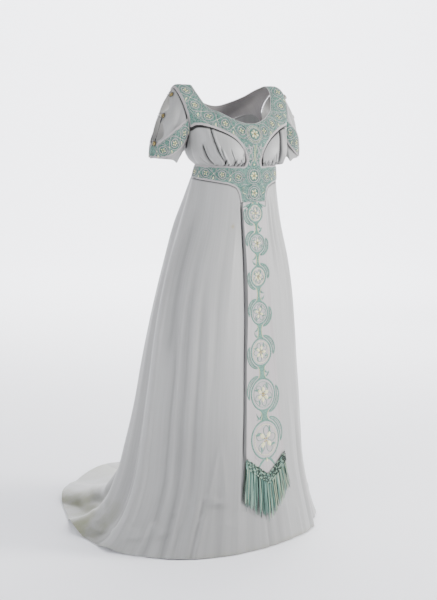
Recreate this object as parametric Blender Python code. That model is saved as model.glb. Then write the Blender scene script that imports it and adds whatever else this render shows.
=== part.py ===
"""Evening dress with an early waist and a short train, held up at the shoulders.

Every form is a function of an angle round the body (0 at the centre front, plus to the
wearer's left, 180 at the centre back) and of a fraction along the cloth. Heights in the
tables are above the floor. The origin is midway between the shoulders, so the floor is
SHOULDER_HEIGHT below it. The front of the dress faces -Y.
"""
import math

import bmesh
import bpy
import numpy as np

# Driving dimensions, in metres
SHOULDER_HEIGHT = 1.378
CLOTH = 0.0015
TRIM = 0.0023
TRIM_RAISE = 0.0008
SEAM = 0.0003
LAY = 0.0004
BAND_LAY = 0.0018
BACK = 180.0
FLOOR_CLEAR = 0.0008
# The highest rise at which the bodice's own normals are used
NECK_RISE = 0.985

# The bodice: angle, then radius and height at the waist seam, under the bust, at the bust,
# at the chest and at the neck
BODICE_LEVELS = np.array((0.0, 0.25, 0.5, 0.75, 1.0))
BODICE = np.array((
    (0.0, 0.0985, 1.133, 0.102, 1.155, 0.105, 1.188, 0.104, 1.228, 0.084, 1.2605),
    (30.0, 0.1056, 1.135, 0.110, 1.158, 0.1135, 1.193, 0.110, 1.229, 0.089, 1.269),
    (60.0, 0.126, 1.137, 0.136, 1.160, 0.144, 1.198, 0.143, 1.245, 0.106, 1.294),
    (80.0, 0.135, 1.138, 0.152, 1.168, 0.168, 1.228, 0.179, 1.295, 0.124, 1.316),
    (90.0, 0.134, 1.139, 0.156, 1.170, 0.175, 1.250, 0.194, 1.340, 0.137, 1.350),
    (100.0, 0.130, 1.139, 0.157, 1.172, 0.178, 1.260, 0.201, 1.364, 0.142, 1.374),
    (112.0, 0.120, 1.139, 0.150, 1.172, 0.175, 1.256, 0.196, 1.348, 0.142, 1.369),
    (130.0, 0.107, 1.138, 0.131, 1.170, 0.153, 1.234, 0.170, 1.308, 0.124, 1.345),
    (150.0, 0.100, 1.137, 0.115, 1.168, 0.131, 1.219, 0.143, 1.279, 0.109, 1.328),
    (180.0, 0.096, 1.135, 0.106, 1.166, 0.116, 1.212, 0.122, 1.265, 0.098, 1.316),
))

# The armhole in the bodice's angle and rise: an oval that is wider above its middle
ARMHOLE_ANGLE, ARMHOLE_RISE = 100.0, 0.545
ARMHOLE_HALF_ANGLE, ARMHOLE_HALF_RISE, ARMHOLE_WIDER = 15.0, 0.215, 3.2
ARMHOLE_STEPS = np.arange(0.0, 361.0, 20.0)
# Where the yokes end on the armhole, in degrees round it from the shoulder
YOKE_TURN = 100.0
# The neckline's angles beside the shoulder seam and beside the plastron
YOKE_NECK_ANGLES = (100.0, 7.0)

# The yoke's lower edge over a bust cup, from the plastron to the armhole: angle, rise
ARCH = np.array((
    (15.5, 0.22), (17.5, 0.33), (20.5, 0.44), (25.0, 0.53), (30.0, 0.605), (36.0, 0.675),
    (43.0, 0.732), (50.0, 0.762), (57.0, 0.765), (64.0, 0.742), (70.0, 0.702), (75.5, 0.645),
    (81.0, 0.573),
))
# The plastron's side below the arch: rise, angle
PLASTRON_SIDE = np.array(((0.0, 18.5), (0.08, 17.2), (0.15, 15.9), (0.22, 15.5)))
CUP_LEAN_ANGLE = 20.0
CUP_END_ANGLE = 88.0
CUP_MORE_COLUMNS = (40.0, 46.5, 53.5, 60.5)
# The back yoke's lower edge, from the armhole to the centre back: angle, rise
BACK_ARCH = np.array((
    (119.0, 0.59), (125.0, 0.65), (132.0, 0.69), (141.0, 0.71), (151.0, 0.71),
    (161.0, 0.70), (171.0, 0.695), (180.0, 0.69),
))
CUP_PUFF = 0.017
CUP_GATHERS = 9
GATHER_DEPTH = 0.0032
# The gathers fan from this place across the cup, and spread this far from it
GATHER_PLACE, GATHER_SPREAD = 0.42, 0.36

# The waistband's lower edge, from the hanging panel to the centre back: angle, height
BAND_EDGE = np.array((
    (24.5, 1.030), (27.0, 1.053), (30.0, 1.066), (39.0, 1.079), (54.0, 1.087), (70.0, 1.093),
    (90.0, 1.099), (125.0, 1.101), (180.0, 1.101),
))

# The hem in plan: angle at the waist, then place to the wearer's left and to the back
HEM = np.array((
    (-180.0, 0.145, 1.000), (-160.0, -0.170, 0.740), (-135.0, -0.350, 0.420),
    (-110.0, -0.420, 0.180), (-90.0, -0.415, 0.030), (-70.0, -0.360, -0.080),
    (-45.0, -0.260, -0.170), (-20.0, -0.130, -0.203), (0.0, 0.000, -0.195),
    (20.0, 0.100, -0.168), (45.0, 0.210, -0.120), (70.0, 0.300, -0.030),
    (90.0, 0.370, 0.070), (110.0, 0.420, 0.220), (135.0, 0.455, 0.490),
    (160.0, 0.375, 0.860), (180.0, 0.145, 1.000),
))
# The skirt's fall: fraction down the cloth, then how far it has reached towards the hem and
# how much of the waist's height is left, at the angles of FALL_ANGLES
FALL_ANGLES = np.array((0.0, 55.0, 125.0, 180.0))
FALL = np.array((
    (0.00, 0.00, 1.000, 0.00, 1.000, 0.00, 1.000, 0.00, 1.000),
    (0.08, 0.03, 0.920, 0.04, 0.920, 0.085, 0.920, 0.04, 0.920),
    (0.16, 0.08, 0.840, 0.12, 0.840, 0.17, 0.840, 0.08, 0.840),
    (0.25, 0.13, 0.750, 0.28, 0.750, 0.235, 0.750, 0.125, 0.745),
    (0.34, 0.20, 0.660, 0.39, 0.660, 0.30, 0.655, 0.165, 0.645),
    (0.45, 0.30, 0.550, 0.47, 0.550, 0.37, 0.540, 0.22, 0.520),
    (0.54, 0.39, 0.460, 0.515, 0.460, 0.42, 0.445, 0.28, 0.410),
    (0.62, 0.47, 0.380, 0.57, 0.380, 0.46, 0.360, 0.33, 0.310),
    (0.72, 0.58, 0.280, 0.62, 0.280, 0.53, 0.250, 0.41, 0.190),
    (0.82, 0.70, 0.180, 0.69, 0.180, 0.61, 0.145, 0.53, 0.085),
    (0.91, 0.83, 0.090, 0.84, 0.090, 0.73, 0.060, 0.70, 0.025),
    (0.97, 0.94, 0.030, 0.95, 0.030, 0.89, 0.016, 0.88, 0.006),
    (1.00, 1.00, 0.001, 1.00, 0.001, 1.00, 0.003, 1.00, 0.003),
))
# Each fold of the skirt: angle at the waist, angle at the hem, half its width in degrees,
# then how far it stands out at the waist, at the knee and at the hem
FOLDS = np.array((
    (-62.0, -60.0, 8.0, 0.001, 0.005, 0.003),
    (-79.0, -78.0, 6.0, -0.002, -0.006, -0.005),
    (-93.0, -95.0, 7.0, 0.003, 0.009, 0.010),
    (-107.0, -110.0, 6.0, -0.003, -0.010, -0.012),
    (-121.0, -126.0, 8.0, 0.004, 0.016, 0.024),
    (-137.0, -143.0, 7.0, -0.004, -0.014, -0.020),
    (-152.0, -156.0, 8.0, 0.005, 0.014, 0.018),
    (-168.0, -170.0, 6.0, -0.003, -0.010, -0.006),
    (52.0, 50.0, 7.0, 0.002, 0.005, 0.004),
    (68.0, 66.0, 6.0, -0.002, -0.007, -0.005),
    (84.0, 83.0, 8.0, 0.003, 0.010, 0.010),
    (101.0, 101.0, 6.0, -0.003, -0.011, -0.010),
    (116.0, 119.0, 8.0, 0.004, 0.016, 0.020),
    (133.0, 138.0, 7.0, -0.004, -0.013, -0.016),
    (150.0, 155.0, 8.0, 0.005, 0.015, 0.018),
    (167.0, 169.0, 6.0, -0.003, -0.010, -0.006),
))
FOLD_LEVELS = np.array((0.0, 0.55, 1.0))
# The skirt's columns: the front from side seam to side seam, and a back from its side seam
FRONT_HALF = np.array((
    0.0, 6.0, 12.0, 18.0, 24.5, 28.0, 32.0, 37.0, 43.0, 50.0, 57.0, 64.0, 70.0, 76.0, 82.0, 88.0,
))
FRONT_ANGLES = np.concatenate((-FRONT_HALF[:0:-1], FRONT_HALF))
BACK_ANGLES = np.linspace(88.0, 180.0, 22)
SKIRT_ROWS = np.array((
    0.0, 0.07, 0.15, 0.24, 0.34, 0.44, 0.53, 0.61, 0.68, 0.75, 0.81, 0.86, 0.905, 0.94, 0.97, 1.0,
))

# The hanging panel: height, half-width
PANEL = np.array((
    (0.20, 0.083), (0.27, 0.080), (0.40, 0.069), (0.55, 0.059), (0.70, 0.049), (0.85, 0.044),
    (1.03, 0.0422),
))
PANEL_SIDE_HEIGHT, PANEL_POINT_HEIGHT = 0.270, 0.214
PANEL_STAND, PANEL_CLEAR = 0.0035, 0.0008
HEADING_DEPTH, HEADING_THICK = 0.010, 0.003
STRANDS = 44
STRAND_WIDE = 0.62
STRAND_SPREAD = 0.24
# Where the strands end: place across the panel (-1 to 1), height
STRAND_ENDS = np.array(((-1.0, 0.143), (0.0, 0.095), (1.0, 0.168)))
STRAND_LEVELS = (0.35, 0.7, 1.0)
STRAND_TAPER = 0.35
STRAND_SWAY, STRAND_RAGGED = 0.0016, (0.007, 0.004)

# The sleeve: the arm's axis at its hem, the hem's half-width, and how it stands out
ARM_X, ARM_Y, ARM_RADIUS = 0.2195, 0.041, 0.0475
SLEEVE_PUFF, SHOULDER_PUFF, SHOULDER_LIFT = 0.007, 0.010, 0.55
SLEEVE_START = 0.0014
# The sleeve's hem: angle round the arm from its top by its front, height
SLEEVE_HEM = np.array((
    (0.0, 1.160), (30.0, 1.158), (62.0, 1.156), (84.0, 1.153), (98.0, 1.146), (110.0, 1.158),
    (128.0, 1.169), (180.0, 1.172), (232.0, 1.169), (262.0, 1.160), (300.0, 1.158), (360.0, 1.160),
))
# The slit on top of the arm: fraction down the sleeve, half its opening in degrees
SLIT = np.array((
    (0.00, 1.2), (0.06, 1.5), (0.12, 4.0), (0.28, 17.0), (0.44, 4.0), (0.53, 17.0),
    (0.64, 27.0), (0.74, 20.0), (0.80, 3.0), (0.84, 0.9), (1.00, 0.9),
))
# The embroidered band over the sleeve: angle round the arm and fraction down, at its upper
# edge and then at its lower edge
SLEEVE_BAND = np.array((
    (66.0, 0.04, 102.0, 0.04), (57.0, 0.25, 96.0, 0.33), (47.0, 0.47, 87.0, 0.63),
    (34.0, 0.67, 74.0, 0.85), (18.0, 0.79, 52.0, 0.97), (8.0, 0.82, 28.0, 0.99),
    (1.2, 0.82, 1.2, 0.993),
))
SLEEVE_ROWS = np.array((
    0.0, 0.06, 0.12, 0.20, 0.28, 0.36, 0.44, 0.53, 0.64, 0.74, 0.80, 0.84, 1.0,
))
BUTTON_FALLS = (0.10, 0.42, 0.815)
# Degrees from the slit's edge to a button's middle, and a loop's ends past the slit's middle
BUTTON_EDGE, LOOP_EDGE = 6.0, 2.0
BUTTON_RADIUS, BUTTON_DEEP = 0.0062, 0.0055
# How far each button, and each loop round it, stands off the sleeve
BUTTON_LIFTS = (LAY, LAY, CLOTH + BAND_LAY + LAY)
LOOP_LIFTS = (0.0022, 0.0014, CLOTH + BAND_LAY + 2 * LAY)
LOOP_RADIUS = 0.0009
LOOP_CLEAR = 0.0006
LOOP_SPREAD = 0.004

SILK = (0.47, 0.48, 0.465, 1.0)
TEAL = (0.22, 0.42, 0.35, 1.0)
FRINGE_TEAL = (0.09, 0.28, 0.22, 1.0)
GILT = (0.48, 0.31, 0.06, 1.0)
BLACK = (0.012, 0.012, 0.012, 1.0)


def spline(stations, values, at):
    """A smooth curve through rows of values, its slope at a row set by the row's neighbours."""
    at = np.clip(np.asarray(at, float), stations[0], stations[-1])
    slopes = np.gradient(values, stations, axis=0)
    row = np.clip(np.searchsorted(stations, at, side="right") - 1, 0, len(stations) - 2)
    step = stations[row + 1] - stations[row]
    s = (at - stations[row]) / step
    if values.ndim > 1:
        s = s[..., None]
        step = step[..., None]
    return (
        (1 + 2 * s) * (1 - s) ** 2 * values[row]
        + s * (1 - s) ** 2 * step * slopes[row]
        + s * s * (3 - 2 * s) * values[row + 1]
        + s * s * (s - 1) * step * slopes[row + 1]
    )


def across(stations, values, at):
    """The same curve where every sample has its own row of values, along the last axis."""
    at = np.clip(at, stations[0], stations[-1])
    slopes = np.gradient(values, stations, axis=-1)
    row = np.clip(np.searchsorted(stations, at, side="right") - 1, 0, len(stations) - 2)
    step = stations[row + 1] - stations[row]
    s = (at - stations[row]) / step

    def pick(rows, index):
        return np.take_along_axis(rows, index[..., None], -1)[..., 0]

    return (
        (1 + 2 * s) * (1 - s) ** 2 * pick(values, row)
        + s * (1 - s) ** 2 * step * pick(slopes, row)
        + s * s * (3 - 2 * s) * pick(values, row + 1)
        + s * s * (s - 1) * step * pick(slopes, row + 1)
    )


def mirrored_rows(table):
    """A 0 to 180 degree table with its neighbours past both ends, so it is level there."""
    before = table[1].copy()
    before[0] = -before[0]
    after = table[-2].copy()
    after[0] = 2 * BACK - after[0]
    return np.vstack((before, table, after))


def wrapped_rows(table):
    """A -180 to 180 degree table with one more row past each end."""
    before = table[-2].copy()
    before[0] -= 2 * BACK
    after = table[1].copy()
    after[0] += 2 * BACK
    return np.vstack((before, table, after))


BODICE_ROUND = mirrored_rows(BODICE)
HEM_ROUND = wrapped_rows(HEM)


def ease(value):
    """0 to 1 with level ends."""
    value = np.clip(value, 0.0, 1.0)
    return value * value * (3 - 2 * value)


def unit(vectors):
    return vectors / np.linalg.norm(vectors, axis=-1, keepdims=True)


def bodice(angle, rise):
    """The bodice's outer surface, from the waist seam (rise 0) up to the neck (rise 1)."""
    angle, rise = np.broadcast_arrays(np.asarray(angle, float), np.asarray(rise, float))
    rows = spline(BODICE_ROUND[:, 0], BODICE_ROUND[:, 1:], np.abs(angle))
    radius = across(BODICE_LEVELS, rows[..., 0::2], rise)
    height = across(BODICE_LEVELS, rows[..., 1::2], rise)
    turn = np.radians(angle)
    return np.stack(
        (radius * np.sin(turn), -radius * np.cos(turn), height - SHOULDER_HEIGHT), -1
    )


def skirt_plain(angle, fall):
    """The skirt's surface without folds, from the waist seam (fall 0) to the hem (fall 1)."""
    angle, fall = np.broadcast_arrays(np.asarray(angle, float), np.asarray(fall, float))
    waist = bodice(angle, 0.0)
    hem = spline(HEM_ROUND[:, 0], HEM_ROUND[:, 1:], angle)
    rows = spline(FALL[:, 0], FALL[:, 1:], fall)
    reach = across(FALL_ANGLES, rows[..., 0::2], np.abs(angle))
    height = across(FALL_ANGLES, rows[..., 1::2], np.abs(angle))
    plan = waist[..., :2] + reach[..., None] * (hem - waist[..., :2])
    level = (waist[..., 2] + SHOULDER_HEIGHT) * height - SHOULDER_HEIGHT
    return np.concatenate((plan, level[..., None]), -1)


def outward(surface, first, second, turn=1.0):
    """Unit normals of a two-parameter surface, from small steps along both parameters."""
    first, second = np.broadcast_arrays(np.asarray(first, float), np.asarray(second, float))
    step_first, step_second = 0.5, 0.004
    second = np.clip(second, 2 * step_second, 1 - 2 * step_second)
    along = surface(first + step_first, second) - surface(first - step_first, second)
    down = surface(first, second + step_second) - surface(first, second - step_second)
    return unit(np.cross(along, down)) * turn


def fold_height(angle, fall):
    """How far the skirt's folds stand out: a sum of bell curves that drift down the cloth."""
    total = np.zeros(np.broadcast(angle, fall).shape)
    for at_waist, at_hem, half, *depths in FOLDS:
        centre = at_waist + (at_hem - at_waist) * fall
        depth = spline(FOLD_LEVELS, np.array(depths), fall)
        total = total + depth * np.exp(-(((angle - centre) / half) ** 2))
    return total


def skirt(angle, fall):
    """The skirt with its folds, which stop at the floor."""
    plain = skirt_plain(angle, fall)
    normals = outward(skirt_plain, angle, fall, -1.0)
    points = plain + normals * fold_height(angle, fall)[..., None]
    floor = -SHOULDER_HEIGHT + CLOTH + FLOOR_CLEAR
    lying = ease((np.abs(angle) - 95.0) / 10.0) * ease((np.asarray(fall) - 0.7) / 0.1)
    level = points[..., 2]
    points[..., 2] = np.where((level < floor) & (lying > 0.5), floor, level)
    return points


def grid_faces(rows, columns):
    """Quads of a grid of points, turned to face along columns x rows."""
    first = np.arange((rows - 1) * columns).reshape(rows - 1, columns)[:, :-1].ravel()
    return np.stack((first, first + 1, first + columns + 1, first + columns), -1)


def pulled_in(points, faces, by=SEAM / 2):
    """Points of a sheet, its rim moved in square to itself, so that neighbours part at a seam."""
    count = len(points)
    edges = np.concatenate([faces[:, (k, (k + 1) % 4)] for k in range(4)])
    lone = ~np.isin(edges[:, 0] * count + edges[:, 1], edges[:, 1] * count + edges[:, 0])
    rim = edges[lone]
    centres = points[faces].mean(axis=1)
    toward = np.zeros_like(points)
    for k in range(4):
        np.add.at(toward, faces[:, k], centres - points[faces[:, k]])
    along = np.zeros_like(points)
    direction = unit(points[rim[:, 1]] - points[rim[:, 0]])
    np.add.at(along, rim[:, 0], direction)
    np.add.at(along, rim[:, 1], direction)
    chosen = np.unique(rim)
    tangent = unit(along[chosen])
    mitre = np.clip(2 / np.linalg.norm(along[chosen], axis=-1, keepdims=True), 1.0, 4.0)
    inward = toward[chosen]
    inward = inward - tangent * (inward * tangent).sum(-1, keepdims=True)
    moved = points.copy()
    moved[chosen] += unit(inward) * mitre * by
    return moved


def material(name, colour, roughness, metallic=0.0):
    made = bpy.data.materials.new(name)
    made.use_nodes = True
    shader = made.node_tree.nodes["Principled BSDF"]
    shader.inputs["Base Color"].default_value = colour
    shader.inputs["Roughness"].default_value = roughness
    shader.inputs["Metallic"].default_value = metallic
    return made


def add_mesh(name, points, faces, finish):
    """A named object from points and faces, shaded smooth but for its edges."""
    mesh = bpy.data.meshes.new(name)
    mesh.from_pydata(np.asarray(points).tolist(), [], [list(map(int, face)) for face in faces])
    mesh.materials.append(finish)
    mesh.shade_smooth()
    mesh.set_sharp_from_angle(angle=math.radians(50))
    made = bpy.data.objects.new(name, mesh)
    bpy.context.collection.objects.link(made)
    return made


def wall(name, points, normals, faces, thick, finish, gap=SEAM / 2):
    """A closed wall: the outer points, the same points moved in, and a strip round the edge."""
    normals = np.asarray(normals).reshape(-1, 3)
    points = pulled_in(np.asarray(points).reshape(-1, 3), faces, gap)
    corners = points[faces]
    facing = np.cross(corners[:, 2] - corners[:, 0], corners[:, 3] - corners[:, 1])
    if (facing * normals[faces[:, 0]]).sum() < 0:
        faces = faces[:, ::-1]
    count = len(points)
    once = {}
    for face in faces.tolist():
        for start, end in zip(face, face[1:] + face[:1]):
            if (end, start) in once:
                del once[(end, start)]
            else:
                once[(start, end)] = True
    rim = [(end, start, start + count, end + count) for start, end in once]
    every = np.vstack((points, points - normals * thick))
    solid = faces.tolist() + (faces[:, ::-1] + count).tolist() + rim
    return add_mesh(name, every, solid, finish)


def grid_wall(name, points, normals, thick, finish, gap=SEAM / 2):
    rows, columns = points.shape[:2]
    return wall(name, points, normals, grid_faces(rows, columns), thick, finish, gap)


def band_fall(angle):
    """Where the waistband ends and the skirt shows, as a fraction of the skirt's fall."""
    height = spline(BAND_EDGE[:, 0], BAND_EDGE[:, 1], np.abs(angle))
    return 1 - height / (bodice(angle, 0.0)[..., 2] + SHOULDER_HEIGHT)


def make_skirt(finish):
    backs = (("skirt_back_right", -BACK_ANGLES[::-1]), ("skirt_back_left", BACK_ANGLES))
    for name, angles in (("skirt_front", FRONT_ANGLES), *backs):
        angle = angles[None, :]
        top = band_fall(angle)
        fall = top + (1 - top) * SKIRT_ROWS[:, None]
        normals = outward(skirt, angle, fall, -1.0)
        grid_wall(name, skirt(angle, fall), normals, CLOTH, finish)


def make_waistband(finish):
    angle = np.concatenate((-BACK_ANGLES[:0:-1], FRONT_ANGLES, BACK_ANGLES[1:]))[None, :]
    fall = np.linspace(0.0, 1.0, 3)[:, None] * band_fall(angle)
    normals = outward(skirt_plain, angle, fall, -1.0)
    points = skirt_plain(angle, fall) + normals * TRIM_RAISE
    grid_wall("waistband", points, normals, TRIM, finish)


def armhole(turn):
    """The armhole's angle and rise, from the shoulder (0) by the front (90) to the underarm."""
    turn = np.radians(turn)
    half = ARMHOLE_HALF_ANGLE * np.sin(turn) + ARMHOLE_WIDER * np.sin(2 * turn)
    angle = ARMHOLE_ANGLE - half
    return angle, ARMHOLE_RISE + ARMHOLE_HALF_RISE * np.cos(turn)


def cup_edge():
    """A cup's upper edge from the plastron to the side seam: the arch, then the armhole."""
    turns = ARMHOLE_STEPS[(ARMHOLE_STEPS >= YOKE_TURN) & (ARMHOLE_STEPS <= BACK)]
    return np.vstack((ARCH, np.stack(armhole(turns), -1)))


def back_edge():
    """A back's upper edge from the side seam to the centre back."""
    turns = ARMHOLE_STEPS[(ARMHOLE_STEPS >= BACK) & (ARMHOLE_STEPS <= 2 * BACK - YOKE_TURN)]
    return np.vstack((np.stack(armhole(turns), -1), BACK_ARCH))


def cup_relief(across_cup, up):
    """The cup's puff and its gathers, which fan out from the middle of the lower edge."""
    puff = CUP_PUFF * np.sin(np.pi * np.clip(across_cup, 0, 1)) ** 0.7 * np.sin(np.pi * up**0.8)
    fan = np.arctan2(across_cup - GATHER_PLACE, up * 0.55 + 0.28)
    strength = ease(up / 0.12) * (1 - ease((up - 0.25) / 0.6))
    spread = np.exp(-(((across_cup - GATHER_PLACE) / GATHER_SPREAD) ** 2))
    return puff + GATHER_DEPTH * strength * spread * np.cos(2 * CUP_GATHERS * fan)


def plastron_side(rise):
    """The angle of the plastron's side below the arch."""
    return np.interp(rise, PLASTRON_SIDE[:, 0], PLASTRON_SIDE[:, 1])


def make_cups(finish):
    edge = cup_edge()
    between = (ARCH[:-1, 0] + ARCH[1:, 0]) / 2
    columns = np.concatenate((edge[:, 0], between, CUP_MORE_COLUMNS))
    columns = np.unique(np.round(columns, 3))
    for side, sign in (("right", -1.0), ("left", 1.0)):
        up = np.linspace(0.0, 1.0, 8)[:, None]
        rise = np.interp(columns, edge[:, 0], edge[:, 1]) * up
        near = np.clip(1 - (columns - columns[0]) / CUP_LEAN_ANGLE, 0.0, 1.0)
        angle = columns + near * (plastron_side(rise) - columns[0])
        place = (columns - columns[0]) / (CUP_END_ANGLE - columns[0])
        normals = outward(bodice, sign * angle, rise)
        points = bodice(sign * angle, rise) + normals * cup_relief(place, up)[..., None]
        stations = bodice(sign * edge[:, 0], edge[:, 1])
        points[-1] = np.stack([np.interp(columns, edge[:, 0], row) for row in stations.T], -1)
        grid_wall("bodice_cup_" + side, points, normals, CLOTH, finish)


def make_backs(finish):
    edge = back_edge()
    for side, sign in (("right", -1.0), ("left", 1.0)):
        angle = edge[None, :, 0]
        rise = edge[:, 1] * np.linspace(0.0, 1.0, 6)[:, None]
        normals = outward(bodice, sign * angle, rise)
        points = bodice(sign * angle, rise)
        grid_wall("bodice_back_" + side, points, normals, CLOTH, finish)


def yoke_outer_edge():
    """The front yoke's outer edge from the shoulder to the plastron: angle, rise."""
    turns = ARMHOLE_STEPS[ARMHOLE_STEPS <= YOKE_TURN]
    return np.vstack((np.stack(armhole(turns), -1), ARCH[::-1]))


def strip_parameters(outer, neck_angles, rows):
    """Angle and rise on a strip between the neckline and the outer edge."""
    part = np.linspace(0.0, 1.0, rows)[:, None]
    angle = neck_angles + (outer[:, 0] - neck_angles) * part
    rise = 1.0 + (outer[:, 1] - 1.0) * part
    return angle, rise


def make_yoke_front(finish):
    """The band of both sides and the plastron in one wall, through a T of shared points."""
    outer = yoke_outer_edge()
    rows = 5
    neck_angles = np.linspace(*YOKE_NECK_ANGLES, len(outer))
    angle, rise = strip_parameters(outer, neck_angles, rows)
    middle = np.linspace(-1.0, 1.0, 7)[1:-1]
    inner_angle = angle[:, -1:] * middle
    inner_rise = np.repeat(rise[:, -1:], len(middle), 1)
    band_angle = np.hstack((-angle, inner_angle, angle[:, ::-1]))
    band_rise = np.hstack((rise, inner_rise, rise[:, ::-1]))
    low = PLASTRON_SIDE[2::-1, :1]
    tail_angle = PLASTRON_SIDE[2::-1, 1:] * np.linspace(-1.0, 1.0, 7)
    tail_rise = np.repeat(low, 7, 1)
    columns = band_angle.shape[1]
    first = angle.shape[1] - 1
    faces = grid_faces(rows, columns)
    base = rows * columns
    last_row = (rows - 1) * columns + np.arange(first, first + 7)
    tail_rows = np.vstack((last_row, base + np.arange(21).reshape(3, 7)))
    tail = np.stack(
        (tail_rows[:-1, :-1], tail_rows[:-1, 1:], tail_rows[1:, 1:], tail_rows[1:, :-1]), -1
    )
    faces = np.vstack((faces, tail.reshape(-1, 4)))
    all_angle = np.concatenate((band_angle.ravel(), tail_angle.ravel()))
    all_rise = np.concatenate((band_rise.ravel(), tail_rise.ravel()))
    points = bodice(all_angle, all_rise)
    normals = outward(bodice, all_angle, np.minimum(all_rise, NECK_RISE))
    wall("yoke_front", points + normals * TRIM_RAISE, normals, faces, TRIM, finish)


def make_yoke_backs(finish):
    turns = ARMHOLE_STEPS[ARMHOLE_STEPS >= 2 * BACK - YOKE_TURN][::-1]
    outer = np.vstack((np.stack(armhole(turns), -1), BACK_ARCH))
    neck = np.linspace(YOKE_NECK_ANGLES[0], BACK, len(outer))
    angle, rise = strip_parameters(outer, neck, 5)
    for side, sign in (("right", -1.0), ("left", 1.0)):
        normals = outward(bodice, sign * angle, np.minimum(rise, NECK_RISE))
        points = bodice(sign * angle, rise) + normals * TRIM_RAISE
        grid_wall("yoke_back_" + side, points, normals, TRIM, finish)


def on_skirt_front(place, fall):
    """Angle of the skirt where its cloth lies at a given distance left of the centre line."""
    angles = np.linspace(-60.0, 60.0, 61)
    place, fall = np.broadcast_arrays(place, fall)
    falls = fall.ravel()
    lines = skirt_plain(angles[None, :], falls[:, None])[..., 0]
    found = [np.interp(one, line, angles) for one, line in zip(place.ravel(), lines)]
    return np.array(found).reshape(place.shape)


def panel_half_width(height):
    return spline(PANEL[:, 0], PANEL[:, 1], height)


def panel_hem(across_panel):
    """The height of the panel's pointed lower edge."""
    return PANEL_SIDE_HEIGHT - (PANEL_SIDE_HEIGHT - PANEL_POINT_HEIGHT) * (1 - abs(across_panel))


def over_skirt(across_panel, height, stand):
    """A point that lies over the skirt's front, at a part of the panel's width and a height."""
    angle = on_skirt_front(across_panel * panel_half_width(height), 1 - height / BODICE[0, 2])
    fall = 1 - height / (bodice(angle, 0.0)[..., 2] + SHOULDER_HEIGHT)
    normals = outward(skirt, angle, fall, -1.0)
    return skirt(angle, fall) + normals * np.asarray(stand)[..., None], normals


def make_panel(finish):
    part = np.linspace(-1.0, 1.0, 7)[None, :]
    down = np.linspace(0.0, 1.0, 17)[:, None]
    top = BAND_EDGE[0, 1] - PANEL_CLEAR
    height = top + (panel_hem(part) - top) * down
    stand = CLOTH + LAY + PANEL_STAND * ease(down / 0.15) + 0 * part
    points, normals = over_skirt(part, height, stand)
    grid_wall("front_panel", points, normals, CLOTH, finish)


def make_fringe(finish):
    """A heading strip along the panel's point, with a four-sided strand out of every other cell."""
    cells = 2 * STRANDS + 1
    widths = np.where(np.arange(cells) % 2 == 1, STRAND_WIDE, 1 - STRAND_WIDE)
    part = np.concatenate(((0.0,), np.cumsum(widths)))
    part = (2 * part / part[-1] - 1)[None, :]
    top = panel_hem(part) - SEAM
    height = np.vstack((top, top - HEADING_DEPTH))
    stand = np.full(height.shape, CLOTH + LAY + PANEL_STAND + 0.001)
    points, normals = over_skirt(np.vstack((part, part)), height, stand)
    inner = points - normals * HEADING_THICK
    columns = part.shape[1]
    every = [*points.reshape(-1, 3), *inner.reshape(-1, 3)]
    back = 2 * columns
    faces = []
    for k in range(columns - 1):
        faces.append((k, columns + k, columns + k + 1, k + 1))
        faces.append((back + k, back + k + 1, back + columns + k + 1, back + columns + k))
        faces.append((k, k + 1, back + k + 1, back + k))
    faces.append((0, back, back + columns, columns))
    end = columns - 1
    faces.append((end, columns + end, back + columns + end, back + end))
    for k in range(columns - 1):
        ring = [columns + k, columns + k + 1, back + columns + k + 1, back + columns + k]
        if k % 2 == 0:
            faces.append(tuple(ring[::-1]))
            continue
        strand = k // 2
        middle = (part[0, k] + part[0, k + 1]) / 2
        half = (part[0, k + 1] - part[0, k]) / 2
        drop = spline(STRAND_ENDS[:, 0], STRAND_ENDS[:, 1], middle)
        drop = drop + STRAND_RAGGED[0] * math.sin(2.4 * strand)
        drop = drop - STRAND_RAGGED[1] * math.cos(5.1 * strand)
        start = panel_hem(middle) - SEAM - HEADING_DEPTH
        for level in STRAND_LEVELS:
            slim = 1 - STRAND_TAPER * level
            sway = STRAND_SWAY * math.sin(1.7 * strand + 3 * level) * level
            sides = np.array((-half, half)) * slim + middle * (1 + STRAND_SPREAD * level)
            at = start + (drop - start) * level
            front, facing = over_skirt(sides, np.full(2, at), np.full(2, stand[0, 0]))
            front[:, 0] += sway
            rear = front - facing * HEADING_THICK * slim
            base = len(every)
            every += [front[0], front[1], rear[1], rear[0]]
            new = [base, base + 1, base + 2, base + 3]
            for i in range(4):
                j = (i + 1) % 4
                faces.append((ring[i], new[i], new[j], ring[j]))
            ring = new
        faces.append(tuple(ring))
    made = add_mesh("fringe", np.array(every), faces, finish)
    face_out(made)


def face_out(made):
    """Turns a closed mesh's faces so that they all point outwards."""
    form = bmesh.new()
    form.from_mesh(made.data)
    bmesh.ops.recalc_face_normals(form, faces=form.faces)
    form.to_mesh(made.data)
    form.free()


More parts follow.
